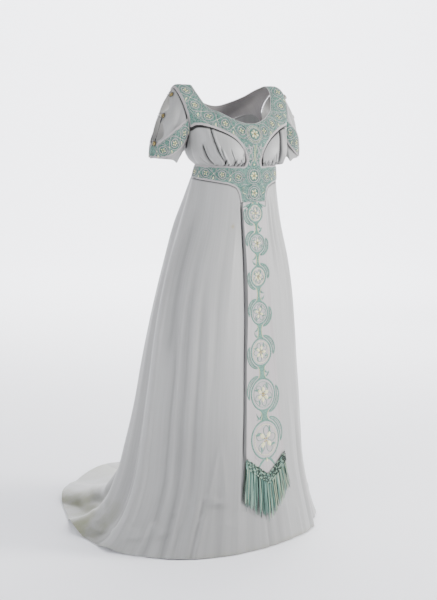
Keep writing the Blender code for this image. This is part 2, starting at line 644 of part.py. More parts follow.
def sleeve(side, turn, fall):
    """The sleeve's surface: from the armhole to a ring round the arm, puffed out between.

    turn is 0 on top of the arm, 90 at its front, 180 under it; fall is 0 at the armhole.
    """
    turn, fall = np.broadcast_arrays(np.asarray(turn, float), np.asarray(fall, float))
    angle, rise = armhole(turn)
    start = bodice(side * angle, rise)
    radians = np.radians(turn)
    out = np.stack((side * np.cos(radians), -np.sin(radians), 0 * radians), -1)
    level = spline(SLEEVE_HEM[:, 0], SLEEVE_HEM[:, 1], np.mod(turn, 360.0)) - SHOULDER_HEIGHT
    centre = np.stack((side * ARM_X + 0 * level, ARM_Y + 0 * level, level), -1)
    end = centre + out * ARM_RADIUS
    top = np.maximum(np.cos(radians), 0.0)
    shoulder = unit(out + np.array((0.0, 0.0, SHOULDER_LIFT)) * top[..., None])
    puff = SLEEVE_PUFF * (0.5 + 0.5 * np.cos(radians)) + SHOULDER_PUFF * top
    bulge = 4 * fall * (1 - fall) * puff
    return start + (end - start) * fall[..., None] + shoulder * bulge[..., None]


def sleeve_normals(side, turn, fall):
    def surface(first, second):
        return sleeve(side, first, second)

    return outward(surface, turn, np.clip(fall, 0.01, 0.99), side)


def make_sleeves(finish):
    for name, side in (("right", -1.0), ("left", 1.0)):
        gap = np.interp(SLEEVE_ROWS, SLIT[:, 0], SLIT[:, 1])[:, None]
        turn = ARMHOLE_STEPS + gap * (1 - ARMHOLE_STEPS / BACK)
        fall = SLEEVE_ROWS[:, None]
        points = sleeve(side, turn, fall)
        normals = sleeve_normals(side, turn, fall + 0 * turn)
        points[0] += unit(points[1] - points[0]) * SLEEVE_START
        grid_wall("sleeve_" + name, points, normals, CLOTH, finish)


def make_sleeve_bands(finish):
    stations = np.linspace(0.0, 1.0, len(SLEEVE_BAND))
    along = np.linspace(0.0, 1.0, 11)
    rows = spline(stations, SLEEVE_BAND, along)
    part = np.linspace(0.0, 1.0, 4)[:, None]
    turn = rows[:, 0] + (rows[:, 2] - rows[:, 0]) * part
    fall = rows[:, 1] + (rows[:, 3] - rows[:, 1]) * part
    for name, side in (("right", -1.0), ("left", 1.0)):
        for place in ("front", "back"):
            round_arm = turn if place == "front" else 360.0 - turn
            normals = sleeve_normals(side, round_arm, fall)
            points = sleeve(side, round_arm, fall) + normals * (CLOTH + BAND_LAY)
            grid_wall(f"sleeve_band_{name}_{place}", points, normals, CLOTH, finish)


def frame_on_sleeve(side, turn, fall):
    """A point of the sleeve, its outward direction, and the directions round and down the arm."""
    point = sleeve(side, turn, fall)
    out = sleeve_normals(side, np.array(turn), np.array(fall))
    down = unit(sleeve(side, turn, fall + 0.01) - sleeve(side, turn, fall - 0.01))
    return point, out, unit(np.cross(out, down)), down


def button_turn(fall):
    """Buttons sit on the front edge of the slit."""
    return float(np.interp(fall, SLIT[:, 0], SLIT[:, 1])) + BUTTON_EDGE


def make_buttons(finish):
    """Each button is a domed disc: circles that close over a flat back."""
    profile = ((0.0, 0.62), (0.18, 0.92), (0.42, 1.0), (0.68, 0.86), (0.90, 0.52))
    sides = 10
    circle = 2 * math.pi * np.arange(sides) / sides
    for name, side in (("right", -1.0), ("left", 1.0)):
        for number, fall in enumerate(BUTTON_FALLS, 1):
            point, out, round_arm, down = frame_on_sleeve(side, button_turn(fall), fall)
            foot = point + out * BUTTON_LIFTS[number - 1]
            rings = [
                foot + out * BUTTON_DEEP * high
                + BUTTON_RADIUS * wide
                * (np.cos(circle)[:, None] * round_arm + np.sin(circle)[:, None] * down)
                for high, wide in profile
            ]
            points = np.vstack((*rings, foot[None], (foot + out * BUTTON_DEEP)[None]))
            faces = [list(face) for face in ring_faces(len(profile), sides)]
            back, front = len(points) - 2, len(points) - 1
            last = (len(profile) - 1) * sides
            for k in range(sides):
                faces.append([(k + 1) % sides, k, back])
                faces.append([last + k, last + (k + 1) % sides, front])
            face_out(add_mesh(f"button_{name}_{number}", points, faces, finish))


def ring_faces(rings, sides):
    """Quads between rings of points."""
    for ring in range(rings - 1):
        for k in range(sides):
            following = (k + 1) % sides
            start = ring * sides
            yield start + k, start + following, start + sides + following, start + sides + k


def make_loops(finish):
    """Each loop is a thin cord that comes off the slit's back edge, round the button's foot."""
    for name, side in (("right", -1.0), ("left", 1.0)):
        for number, fall in enumerate(BUTTON_FALLS, 1):
            turn = button_turn(fall)
            point, out, _, _ = frame_on_sleeve(side, turn, fall)
            across_slit = sleeve(side, LOOP_EDGE - turn, fall) - point
            toward = unit(across_slit)
            sideways = unit(np.cross(out, toward)) * LOOP_SPREAD
            wide = BUTTON_RADIUS + LOOP_RADIUS + LOOP_CLEAR
            centre = point + out * (LOOP_LIFTS[number - 1] + LOOP_RADIUS)
            route = [centre + across_slit + sideways]
            for step in np.linspace(-90.0, 90.0, 9):
                swing = math.radians(step)
                across_button = unit(sideways) * math.sin(swing)
                route.append(centre - (toward * math.cos(swing) + across_button) * wide)
            route.append(centre + across_slit - sideways)
            curve_cord(f"loop_{name}_{number}", route, LOOP_RADIUS, finish)


def curve_cord(name, route, radius, finish):
    curve = bpy.data.curves.new(name, "CURVE")
    curve.dimensions = "3D"
    curve.bevel_depth = radius
    curve.bevel_resolution = 0
    curve.use_fill_caps = True
    line = curve.splines.new("POLY")
    line.points.add(len(route) - 1)
    for knot, place in zip(line.points, route):
        knot.co = (*place, 1.0)
    curve.materials.append(finish)
    made = bpy.data.objects.new(name, curve)
    bpy.context.collection.objects.link(made)


def main():
    for old in list(bpy.data.objects):
        bpy.data.objects.remove(old)
    silk = material("silk", SILK, 0.5)
    embroidery = material("embroidery", TEAL, 0.6)
    make_skirt(silk)
    make_cups(silk)
    make_backs(silk)
    make_sleeves(silk)
    make_yoke_front(embroidery)
    make_yoke_backs(embroidery)
    make_waistband(embroidery)
    make_panel(embroidery)
    make_sleeve_bands(embroidery)
    make_fringe(material("fringe_silk", FRINGE_TEAL, 0.5))
    make_buttons(material("gilt", GILT, 0.3, 1.0))
    make_loops(material("black_cord", BLACK, 0.7))


main()
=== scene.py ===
"""Looks of the evening dress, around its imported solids.

The dress is cut from grey silk satin with an embroidered yoke, waistband, sleeve bands and
hanging panel. Every cloth is a surface of two parameters, worked out as whole arrays from the
same tables as the solids. Heights in the tables are above the floor, in metres. The origin is
midway between the shoulders, the front faces -Y and the wearer's left is +X.
"""

import math
from functools import partial

import bpy
import numpy as np
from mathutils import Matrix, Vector


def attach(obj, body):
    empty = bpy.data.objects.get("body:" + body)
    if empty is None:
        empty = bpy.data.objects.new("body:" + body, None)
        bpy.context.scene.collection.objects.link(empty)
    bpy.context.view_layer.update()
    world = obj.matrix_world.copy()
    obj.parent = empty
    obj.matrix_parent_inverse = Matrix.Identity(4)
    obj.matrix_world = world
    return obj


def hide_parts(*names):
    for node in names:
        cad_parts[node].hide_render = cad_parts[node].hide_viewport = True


bl_info = {
    "name": "Evening dress",
    "version": (1, 0, 0),
    "blender": (4, 5, 0),
    "location": "3D View > Sidebar > Dress",
    "description": "Builds the cloth, embroidery, fringe and fastenings of an evening dress",
    "category": "Object",
}

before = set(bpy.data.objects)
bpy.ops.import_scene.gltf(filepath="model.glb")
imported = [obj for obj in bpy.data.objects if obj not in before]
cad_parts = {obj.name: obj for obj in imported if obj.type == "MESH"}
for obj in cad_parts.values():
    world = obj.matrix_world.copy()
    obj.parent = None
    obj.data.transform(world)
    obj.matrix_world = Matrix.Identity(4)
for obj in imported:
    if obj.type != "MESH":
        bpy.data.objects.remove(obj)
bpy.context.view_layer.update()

# Driving dimensions, in metres, as in the solids: how thick their silk is, how far a trim's
# face stands over the bodice, and how far pieces and sleeve bands lie over the cloth below
SHOULDER_HEIGHT = 1.378
CLOTH = 0.0015
TRIM_RAISE = 0.0008
LAY, BAND_LAY = 0.0004, 0.0018
MM = 0.001
# Angles are in degrees from the centre front, plus towards the wearer's left
BACK = 180.0

# The bodice: angle, then radius and height at the waist seam, under the bust, at the bust,
# at the chest and at the neck
BODICE_LEVELS = np.array((0.0, 0.25, 0.5, 0.75, 1.0))
BODICE = np.array((
    (0, 0.0985, 1.133, 0.102, 1.155, 0.105, 1.188, 0.104, 1.228, 0.084, 1.2605),
    (30, 0.1056, 1.135, 0.110, 1.158, 0.1135, 1.193, 0.110, 1.229, 0.089, 1.269),
    (60, 0.126, 1.137, 0.136, 1.160, 0.144, 1.198, 0.143, 1.245, 0.106, 1.294),
    (80, 0.135, 1.138, 0.152, 1.168, 0.168, 1.228, 0.179, 1.295, 0.124, 1.316),
    (90, 0.134, 1.139, 0.156, 1.170, 0.175, 1.250, 0.194, 1.340, 0.137, 1.350),
    (100, 0.130, 1.139, 0.157, 1.172, 0.178, 1.260, 0.201, 1.364, 0.142, 1.374),
    (112, 0.120, 1.139, 0.150, 1.172, 0.175, 1.256, 0.196, 1.348, 0.142, 1.369),
    (130, 0.107, 1.138, 0.131, 1.170, 0.153, 1.234, 0.170, 1.308, 0.124, 1.345),
    (150, 0.100, 1.137, 0.115, 1.168, 0.131, 1.219, 0.143, 1.279, 0.109, 1.328),
    (180, 0.096, 1.135, 0.106, 1.166, 0.116, 1.212, 0.122, 1.265, 0.098, 1.316),
))

# The armhole in the bodice's angle and rise: an oval that is wider above its middle
ARMHOLE_ANGLE, ARMHOLE_RISE = 100.0, 0.545
ARMHOLE_HALF_ANGLE, ARMHOLE_HALF_RISE, ARMHOLE_WIDER = 15.0, 0.215, 3.2
# Where the yokes end on the armhole and where the underarm is, in degrees round the armhole
# from the shoulder
YOKE_TURN, UNDERARM_TURN = 100.0, 180.0
# Where the front yoke's straight lines start on the neckline, at its two ends, and how far up
# the bodice its normals are read
NECK_SHOULDER, NECK_FRONT, NECK_RISE = 100.0, 7.0, 0.985
# The yoke's lower edge over a bust cup, from the plastron to the armhole: angle, rise
ARCH = np.array((
    (15.5, 0.22), (17.5, 0.33), (20.5, 0.44), (25, 0.53), (30, 0.605), (36, 0.675),
    (43, 0.732), (50, 0.762), (57, 0.765), (64, 0.742), (70, 0.702), (75.5, 0.645),
    (81, 0.573),
))
# The plastron's side below the arch: rise, angle
PLASTRON_SIDE = np.array(((0.0, 18.5), (0.08, 17.2), (0.15, 15.9), (0.22, 15.5)))
CUP_LEAN_ANGLE = 20.0
# The back yoke's lower edge, from the armhole to the centre back: angle, rise
BACK_ARCH = np.array((
    (119, 0.59), (125, 0.65), (132, 0.69), (141, 0.71), (151, 0.71),
    (161, 0.70), (171, 0.695), (180, 0.69),
))
CUP_PUFF, PUCKER = 0.017, 0.0040
CUP_END_ANGLE = 88.0
# How far a cup's edge tucks under the yoke, over what width, and how far under the waistband
RIM_TUCK, RIM_WIDTH, BAND_TUCK = 0.0052, 0.0058, 0.0016

# The waistband's lower edge, from the hanging panel to the centre back: angle, height
BAND_EDGE = np.array((
    (24.5, 1.030), (27, 1.053), (30, 1.066), (39, 1.079), (54, 1.087), (70, 1.093),
    (90, 1.099), (125, 1.101), (180, 1.101),
))

# The hem in plan: angle at the waist, then place to the wearer's left and to the back
HEM = np.array((
    (-180, 0.145, 1.000), (-160, -0.170, 0.740), (-135, -0.350, 0.420),
    (-110, -0.420, 0.180), (-90, -0.415, 0.030), (-70, -0.360, -0.080),
    (-45, -0.260, -0.170), (-20, -0.130, -0.203), (0, 0.000, -0.195),
    (20, 0.100, -0.168), (45, 0.210, -0.120), (70, 0.300, -0.030),
    (90, 0.370, 0.070), (110, 0.420, 0.220), (135, 0.455, 0.490),
    (160, 0.375, 0.860), (180, 0.145, 1.000),
))
# The skirt's fall: fraction down the cloth, then how far it has reached towards the hem and
# how much of the waist's height is left, at the angles of FALL_ANGLES
FALL_ANGLES = np.array((0.0, 55.0, 125.0, 180.0))
FALL = np.array((
    (0.00, 0.00, 1.000, 0.00, 1.000, 0.00, 1.000, 0.00, 1.000),
    (0.08, 0.03, 0.920, 0.04, 0.920, 0.085, 0.920, 0.04, 0.920),
    (0.16, 0.08, 0.840, 0.12, 0.840, 0.17, 0.840, 0.08, 0.840),
    (0.25, 0.13, 0.750, 0.28, 0.750, 0.235, 0.750, 0.125, 0.745),
    (0.34, 0.20, 0.660, 0.39, 0.660, 0.30, 0.655, 0.165, 0.645),
    (0.45, 0.30, 0.550, 0.47, 0.550, 0.37, 0.540, 0.22, 0.520),
    (0.54, 0.39, 0.460, 0.515, 0.460, 0.42, 0.445, 0.28, 0.410),
    (0.62, 0.47, 0.380, 0.57, 0.380, 0.46, 0.360, 0.33, 0.310),
    (0.72, 0.58, 0.280, 0.62, 0.280, 0.53, 0.250, 0.41, 0.190),
    (0.82, 0.70, 0.180, 0.69, 0.180, 0.61, 0.145, 0.53, 0.085),
    (0.91, 0.83, 0.090, 0.84, 0.090, 0.73, 0.060, 0.70, 0.025),
    (0.97, 0.94, 0.030, 0.95, 0.030, 0.89, 0.016, 0.88, 0.006),
    (1.00, 1.00, 0.001, 1.00, 0.001, 1.00, 0.003, 1.00, 0.003),
))
# Each main fold of the skirt: angle at the waist, angle at the hem, half its width in
# degrees, then how far it stands out at the waist, at the knee and at the hem
FOLDS = np.array((
    (-62, -60, 8, 0.001, 0.005, 0.003),
    (-79, -78, 6, -0.002, -0.006, -0.005),
    (-93, -95, 7, 0.003, 0.009, 0.010),
    (-107, -110, 6, -0.003, -0.010, -0.012),
    (-121, -126, 8, 0.004, 0.016, 0.024),
    (-137, -143, 7, -0.004, -0.014, -0.020),
    (-152, -156, 8, 0.005, 0.014, 0.018),
    (-168, -170, 6, -0.003, -0.010, -0.006),
    (52, 50, 7, 0.002, 0.005, 0.004),
    (68, 66, 6, -0.002, -0.007, -0.005),
    (84, 83, 8, 0.003, 0.010, 0.010),
    (101, 101, 6, -0.003, -0.011, -0.010),
    (116, 119, 8, 0.004, 0.016, 0.020),
    (133, 138, 7, -0.004, -0.013, -0.016),
    (150, 155, 8, 0.005, 0.015, 0.018),
    (167, 169, 6, -0.003, -0.010, -0.006),
))
FOLD_LEVELS = np.array((0.0, 0.55, 1.0))
SIDE_SEAM = 88.0
# The skirt's edges: how deep a seam tucks in, how far the cloth runs under the waistband and
# how wide the band's shadow is, as fractions of the fall, and one degree round the waist
SEAM_TUCK = 0.0009
UNDER_BAND, BAND_SHADOW, DEGREE_AT_WAIST = 0.004, 0.0026, 0.0022
# How deep the skirt dips beside the panel, and how far the train lies over the floor
PANEL_GROOVE, TRAIN_CLEAR = 0.007, 0.0008

# Soft creases down the skirt: angle and fall where one starts, angle and fall where it ends,
# half its width in degrees, height in millimetres (minus for a trough)
CREASES = np.array((
    (-30, 0.10, -36, 0.50, 3, 0.8), (-41, 0.05, -45, 0.62, 3.4, -1.3),
    (-49, 0.30, -50, 1.02, 3, 2), (-56, 0.22, -55, 0.98, 2.6, -2.6),
    (-60.5, 0.18, -60, 1.02, 2.2, 2.6), (-66, 0.12, -65.5, 1.02, 2.6, -3.6),
    (-70.5, 0.20, -71, 0.92, 1.9, 3), (-75, 0.34, -76, 1.02, 2.3, -2.8),
    (-84.5, 0.08, -83, 0.55, 5, -6), (-89.5, 0.30, -92, 1.02, 2.4, 3),
    (-100, 0.10, -103, 1.02, 2.4, -4.2), (-113, 0.16, -117, 1.02, 2.8, 3.6),
    (-128, 0.04, -133, 1.02, 2.6, -4.6), (-145, 0.06, -149, 1.02, 2.4, -3.6),
    (-160, 0.04, -163, 1.02, 2.4, 3.2), (-172, 0.10, -175, 0.90, 2, -2.6),
    (24, 0.03, 25, 0.25, 1.3, 1.4), (28.5, 0.03, 29.5, 0.33, 1.2, -1.6),
    (32, 0.03, 34, 0.38, 1.3, 1.9), (36, 0.03, 38.5, 0.30, 1.2, -1.8),
    (40.5, 0.02, 43, 0.45, 1.5, 1.8), (46, 0.02, 47.5, 0.36, 1.4, -1.7),
    (52, 0.05, 52, 0.60, 2.4, 1.6), (59, 0.10, 58, 0.75, 2.6, -2.4),
    (34, 0.55, 38, 1.02, 2.6, 1.8), (44, 0.62, 46.5, 1.02, 2.2, -2.4),
    (50, 0.70, 52.5, 1.02, 2.2, 2.2), (73, 0.06, 72, 1.02, 2.8, 3.2),
    (92, 0.05, 92.5, 1.02, 2.6, -3.6), (108, 0.05, 110, 1.02, 2.6, 3.4),
    (125, 0.04, 129, 1.02, 2.6, -4), (142, 0.05, 147, 1.02, 2.4, -3.4),
    (158, 0.05, 161, 1.02, 2.4, 3.2), (173, 0.10, 175, 0.85, 2, -2.4),
    (-14, 0.70, -13, 1.02, 3.4, -1.2), (-5, 0.84, -3.5, 1.02, 1.6, 2),
    (6, 0.78, 8, 1.02, 2.6, -1.4), (-22, 0.66, -21, 1.02, 2.8, 1.2),
    (-43, 0.88, -46, 1.02, 1.5, 2.6), (-36, 0.80, -33, 1.02, 2.6, -1.6),
    (-45, 0.82, -49, 1.02, 1.7, -3), (-37, 0.70, -44, 0.88, 1.8, 2),
    (-36.5, 0.70, -30, 0.87, 1.8, 1.8), (-77.5, 0.86, -79, 1.02, 1.6, 2.6),
    (-57, 0.90, -59.5, 1.02, 1.6, -2.6), (30, 0.90, 31.5, 1.02, 1.6, 2.2),
    (-2, 0.88, -1, 1.02, 1.6, -2.2), (17, 0.86, 18.5, 1.02, 1.8, 2),
))
# Creases that lie across the skirt near the floor: angle, fall, half the length in degrees,
# half the width as a fraction of the fall, slope, height in millimetres
CROSS_CREASES = np.array((
    (-88, 0.925, 7, 0.007, 0.0010, 2.6), (-82, 0.955, 6, 0.006, -0.0008, -2),
    (-71, 0.930, 6, 0.007, 0.0016, 2.4), (-50, 0.868, 5, 0.006, 0.0014, 1.6),
    (-46, 0.905, 5.5, 0.007, -0.0012, 1.7), (-62, 0.895, 4.5, 0.006, 0.0006, -1.5),
    (-26, 0.925, 6, 0.006, 0.0010, 1.3), (12, 0.900, 5, 0.006, -0.0008, 1.2),
    (30, 0.930, 5, 0.006, 0.0012, 1.5), (64, 0.930, 6, 0.007, 0.0008, 2),
    (86, 0.900, 6, 0.007, -0.0012, 2.2), (104, 0.940, 6, 0.008, 0.0010, 2.6),
    (-104, 0.945, 6, 0.008, 0.0012, 3), (-118, 0.955, 5, 0.009, -0.0010, 3.4),
    (-133, 0.930, 7, 0.012, 0.0012, 4), (-150, 0.955, 7, 0.010, -0.0012, 3),
    (150, 0.950, 7, 0.010, 0.0012, 3), (128, 0.940, 6, 0.010, -0.0010, 3.2),
    (-40, 0.858, 8, 0.007, 0.0010, 2.4), (-37, 0.875, 7, 0.008, 0.0004, -2.2),
    (-74, 0.915, 4.5, 0.007, 0.0018, 2.8), (-66, 0.945, 4, 0.007, -0.0012, -2.4),
    (-20, 0.885, 5, 0.007, -0.0014, 1.8), (-154, 0.905, 9, 0.016, 0.0016, -9),
    (-143, 0.925, 5, 0.010, -0.0020, 5), (-150, 0.965, 6, 0.010, 0.0010, -4),
    (-136, 0.900, 4, 0.010, 0.0024, 4), (-127, 0.925, 4, 0.009, -0.0012, -4),
    (-160, 0.940, 5, 0.010, -0.0014, 4), (-121, 0.900, 3.5, 0.010, 0.0020, 3.6),
    (-166, 0.890, 5, 0.012, 0.0012, -4.4), (-113, 0.965, 4, 0.009, -0.0014, -3.4),
    (158, 0.910, 8, 0.014, -0.0014, -6), (144, 0.915, 5, 0.010, 0.0016, 4),
    (166, 0.950, 5, 0.010, 0.0010, 3.6), (135, 0.895, 5, 0.011, -0.0016, -4),
))

# Gathers of the bust cups: place across the cup and up it where a gather starts, the same
# where it ends, how far it bows, half its width, height in millimetres (minus for a tuck)
RIGHT_CUP_FOLDS = np.array((
    (0.675, 1.02, 0.438, 0.12, 0.004, 0.009, -8), (0.640, 0.98, 0.405, 0.10, 0.004, 0.018, 3.4),
    (0.708, 0.95, 0.475, 0.12, 0.000, 0.014, 2.6), (0.775, 0.72, 0.600, 0.01, 0.030, 0.016, -7.5),
    (0.745, 0.74, 0.565, 0.03, 0.026, 0.015, 3.4), (0.812, 0.66, 0.640, 0.02, 0.020, 0.022, 2.6),
    (0.850, 0.44, 0.680, 0.01, 0.020, 0.020, -3.2), (0.535, 0.70, 0.390, 0.05, 0.012, 0.009, -5.5),
    (0.508, 0.66, 0.365, 0.04, 0.010, 0.014, 2.4), (0.560, 0.60, 0.420, 0.02, 0.010, 0.012, 1.8),
    (0.378, 0.66, 0.235, 0.08, 0.006, 0.009, -5), (0.352, 0.58, 0.215, 0.05, 0.006, 0.013, 2.2),
    (0.330, 0.36, 0.285, 0.02, 0.004, 0.010, -3.6), (0.150, 0.46, 0.190, 0.02, -0.010, 0.011, -3.6),
    (0.060, 0.90, 0.130, 0.03, 0.020, 0.012, -3.4), (0.095, 0.70, 0.150, 0.05, 0.010, 0.014, 2.2),
    (0.260, 0.42, 0.240, 0.02, 0.000, 0.009, 1.6), (0.470, 0.28, 0.455, 0.01, 0.000, 0.008, -2.6),
))
LEFT_CUP_FOLDS = np.array((
    (0.595, 1.02, 0.560, 0.04, -0.110, 0.042, -12), (0.700, 0.98, 0.650, 0.06, -0.090, 0.036, 6),
    (0.565, 0.92, 0.485, 0.10, -0.080, 0.014, 2.4), (0.720, 0.80, 0.660, 0.03, -0.020, 0.016, -3.4),
    (0.320, 0.56, 0.405, 0.04, 0.000, 0.013, -3.6), (0.285, 0.50, 0.365, 0.04, 0.000, 0.014, 2.2),
    (0.150, 0.40, 0.120, 0.03, 0.020, 0.012, -5), (0.200, 0.34, 0.180, 0.02, 0.010, 0.014, 2.6),
    (0.235, 0.40, 0.255, 0.02, 0.000, 0.010, -3.4), (0.080, 0.46, 0.085, 0.02, 0.000, 0.010, -2.6),
    (0.310, 0.22, 0.310, 0.01, 0.000, 0.009, -3), (0.820, 0.60, 0.760, 0.03, -0.010, 0.020, -2.4),
))

# The hanging panel: height, half-width
PANEL = np.array((
    (0.20, 0.083), (0.27, 0.080), (0.40, 0.069), (0.55, 0.059), (0.70, 0.049), (0.85, 0.044),
    (1.03, 0.0422),
))
PANEL_SIDE_HEIGHT, PANEL_POINT_HEIGHT = 0.270, 0.214
PANEL_STAND, PANEL_CLEAR = 0.0035, 0.0008
PANEL_MEDALLIONS = 7
# Where the strands end: place across the panel (-1 to 1), height
STRAND_ENDS = np.array(((-1.0, 0.143), (0.0, 0.095), (1.0, 0.168)))
STRAND_SPREAD = 0.24
FRINGE_LOCKS = 38
# Part of the strands that lie in front, thicker and paler than those behind, and their tones;
# the dark strands behind are partly their own colour and partly painted shade between them
FACE_STRANDS = 0.40
STRAND_TONES = np.array((0.34, 0.60, 0.80, 1.0))
FRINGE_BASE = CLOTH + LAY + PANEL_STAND

# The sleeve: the arm's axis at its hem, the hem's half-width, and how it stands out
ARM_X, ARM_Y, ARM_RADIUS = 0.2195, 0.041, 0.0475
SLEEVE_PUFF, SHOULDER_PUFF = 0.007, 0.010
# The sleeve's hem: angle round the arm from its top by its front, height
SLEEVE_HEM = np.array((
    (0, 1.160), (30, 1.158), (62, 1.156), (84, 1.153), (98, 1.146), (110, 1.158),
    (128, 1.169), (180, 1.172), (232, 1.169), (262, 1.160), (300, 1.158), (360, 1.160),
))
# The slit on top of the arm: fraction down the sleeve, half its opening in degrees
SLIT = np.array((
    (0.00, 1.2), (0.06, 1.5), (0.12, 4), (0.28, 17), (0.44, 4), (0.53, 17),
    (0.64, 27), (0.74, 20), (0.80, 3), (0.84, 0.9), (1.00, 0.9),
))
# The embroidered band over the sleeve: angle round the arm and fraction down, at its upper
# edge and then at its lower edge
SLEEVE_BAND = np.array((
    (66, 0.04, 102, 0.04), (57, 0.25, 96, 0.33), (47, 0.47, 87, 0.63),
    (34, 0.67, 74, 0.85), (18, 0.79, 52, 0.97), (8, 0.82, 28, 0.99),
    (1.2, 0.82, 1.2, 0.993),
))
# Creases of the sleeve: angle and fall where one starts and ends, half-width, millimetres
SLEEVE_CREASES = np.array((
    (42, 0.02, 50, 0.50, 5, -2.4), (30, 0.10, 34, 0.60, 6, 1.4),
    (60, 0.04, 62, 0.40, 4, 1.6), (120, 0.20, 112, 0.95, 7, -2.2),
    (150, 0.30, 150, 0.95, 8, 1.8), (205, 0.10, 210, 0.90, 8, -2),
    (240, 0.15, 246, 0.90, 7, 2), (275, 0.05, 280, 0.50, 6, -2),
    (305, 0.04, 315, 0.55, 6, -1.8), (325, 0.10, 330, 0.60, 6, 1.4),
))
# Buttons and loops: fraction down the sleeve, then degrees from the slit's edges, and how far
# each button and each loop lies over the sleeve
BUTTON_FALLS = (0.10, 0.42, 0.815)
BUTTON_EDGE, LOOP_EDGE = 6.0, 2.0
BUTTON_LIFTS = (LAY, LAY, CLOTH + BAND_LAY + LAY)
LOOP_LIFTS = (0.0022, 0.0014, CLOTH + BAND_LAY + 2 * LAY)
BUTTON_RADIUS, BUTTON_DEEP, BUTTON_SIDES = 0.0062, 0.0055, 30
# A button's outline from its middle over the dome and the rim: depth, then radius, as parts
BUTTON_PROFILE = np.array((
    (0.00, 0.03), (0.00, 0.60), (0.16, 0.90), (0.40, 1.00), (0.62, 0.96), (0.74, 0.86),
    (0.72, 0.76), (0.60, 0.70), (0.62, 0.60), (0.78, 0.46), (0.92, 0.28), (1.00, 0.03),
))
LOOP_RADIUS, LOOP_CLEAR, LOOP_SPREAD = 0.0009, 0.0006, 0.004
LACE_RADIUS, LACE_DROP, LACE_SAG, LACE_LIFT = 0.0006, 0.0016, 0.004, 0.006

# The weave: rib height, and how slubs and streaks repeat along each axis of the cloth
RIB_HEIGHT = 0.25
SLUB_SCALE, STREAK_SCALE = (130.0, 900.0, 1.0), (170.0, 3.5, 1.0)
STITCH_WANDER = 0.003
# Shares of a colour: how much of the spot shows, how light the painted shade is at its
# darkest, and how light the panel's plain cloth is
SPOT_STRENGTH, DARKEST_PAINTED_SHADE, PANEL_SHADE = 0.75, 0.04, 0.92
# How far the embroidered ground's edge wanders and how soft it is, in metres
MARGIN_WANDER, MARGIN_BLUR = 0.006, 0.0006

# The backdrop's flat floor and the radius of its rim's sweep. The camera stands inside it,
# and so would a camera up to 7.5 m away on any side
FLOOR_REACH, RIM_SWEEP, WALL_HEIGHT = 8.6, 2.6, 6.0
FLOOR_LEVEL = -SHOULDER_HEIGHT - 0.0021
# Each soft light: name, place, what it aims at, diameter, watts, colour
LIGHTS = (
    ("key", (2.8, -2.6, 0.35), (0.0, 0.0, -0.2), 1.5, 275.0, (1.0, 0.99, 0.975)),
    ("fill", (-4.0, -1.6, 0.0), (0.0, 0.0, -0.5), 2.2, 125.0, (0.97, 0.98, 1.0)),
    ("top", (0.9, -1.5, 2.3), (0.0, 0.0, -0.4), 1.4, 38.0, (1.0, 1.0, 1.0)),
    ("rim", (3.6, 2.6, 1.2), (0.0, 0.0, -0.5), 1.8, 80.0, (1.0, 1.0, 1.0)),
    ("backdrop", (3.4, 4.6, 5.2), (6.4, 8.8, -0.2), 4.0, 1700.0, (1.0, 1.0, 1.0)),
)
SKY_COLOUR, SKY_STRENGTH = (0.90, 0.91, 0.95, 1.0), 0.77
CAMERA_PLACE, CAMERA_TURN = (-2.565, -3.451, -0.143), (83.25, 0.0, -36.0)

SIDES = (("right", -1.0), ("left", 1.0))
# The two sides of a strip's middle line, which are also the two ways that a scroll turns
SENSES = (-1.0, 1.0)
WEAVE_UV = "cloth"


def place_in(stations, at):
    """The station before each sample, the step to the next one and the part of that step."""
    at = np.clip(np.asarray(at, float), stations[0], stations[-1])
    row = np.clip(np.searchsorted(stations, at, side="right") - 1, 0, len(stations) - 2)
    step = stations[row + 1] - stations[row]
    return row, step, (at - stations[row]) / step


def cubic(s, step, before, after, slope_before, slope_after):
    """A cubic from one value to the next, with its slope given at both."""
    return (
        (1 + 2 * s) * (1 - s) ** 2 * before
        + s * (1 - s) ** 2 * step * slope_before
        + s * s * (3 - 2 * s) * after
        + s * s * (s - 1) * step * slope_after
    )


def spline(stations, values, at):
    """A smooth curve through rows of values, its slope at a row set by the row's neighbours."""
    slopes = np.gradient(values, stations, axis=0)
    row, step, s = place_in(stations, at)
    if values.ndim > 1:
        step, s = step[..., None], s[..., None]
    return cubic(s, step, values[row], values[row + 1], slopes[row], slopes[row + 1])


def across(stations, values, at):
    """The same curve where every sample has its own row of values, along the last axis."""
    slopes = np.gradient(values, stations, axis=-1)
    row, step, s = place_in(stations, at)
    picked = [
        np.take_along_axis(rows, index[..., None], -1)[..., 0]
        for rows in (values, slopes) for index in (row, row + 1)
    ]
    return cubic(s, step, *picked)


def mirrored_rows(table):
    """A 0 to 180 degree table with its neighbours past both ends, so it is level there."""
    before = table[1].copy()
    before[0] = -before[0]
    after = table[-2].copy()
    after[0] = 2 * BACK - after[0]
    return np.vstack((before, table, after))


def wrapped_rows(table):
    """A -180 to 180 degree table with one more row past each end."""
    before = table[-2].copy()
    before[0] -= 2 * BACK
    after = table[1].copy()
    after[0] += 2 * BACK
    return np.vstack((before, table, after))


BODICE_ROUND = mirrored_rows(BODICE)
HEM_ROUND = wrapped_rows(HEM)


def ease(value):
    """0 to 1 with level ends."""
    value = np.clip(value, 0.0, 1.0)
    return value * value * (3 - 2 * value)


def unit(vectors):
    """Vectors brought to length 1."""
    return vectors / np.maximum(np.linalg.norm(vectors, axis=-1, keepdims=True), 1e-12)


def bodice(angle, rise):
    """Radius and height follow a spline over the table's angles, then one over its levels."""
    angle, rise = np.broadcast_arrays(np.asarray(angle, float), np.asarray(rise, float))
    rows = spline(BODICE_ROUND[:, 0], BODICE_ROUND[:, 1:], np.abs(angle))
    radius = across(BODICE_LEVELS, rows[..., 0::2], rise)
    height = across(BODICE_LEVELS, rows[..., 1::2], rise)
    turn = np.radians(angle)
    return np.stack(
        (radius * np.sin(turn), -radius * np.cos(turn), height - SHOULDER_HEIGHT), -1
    )


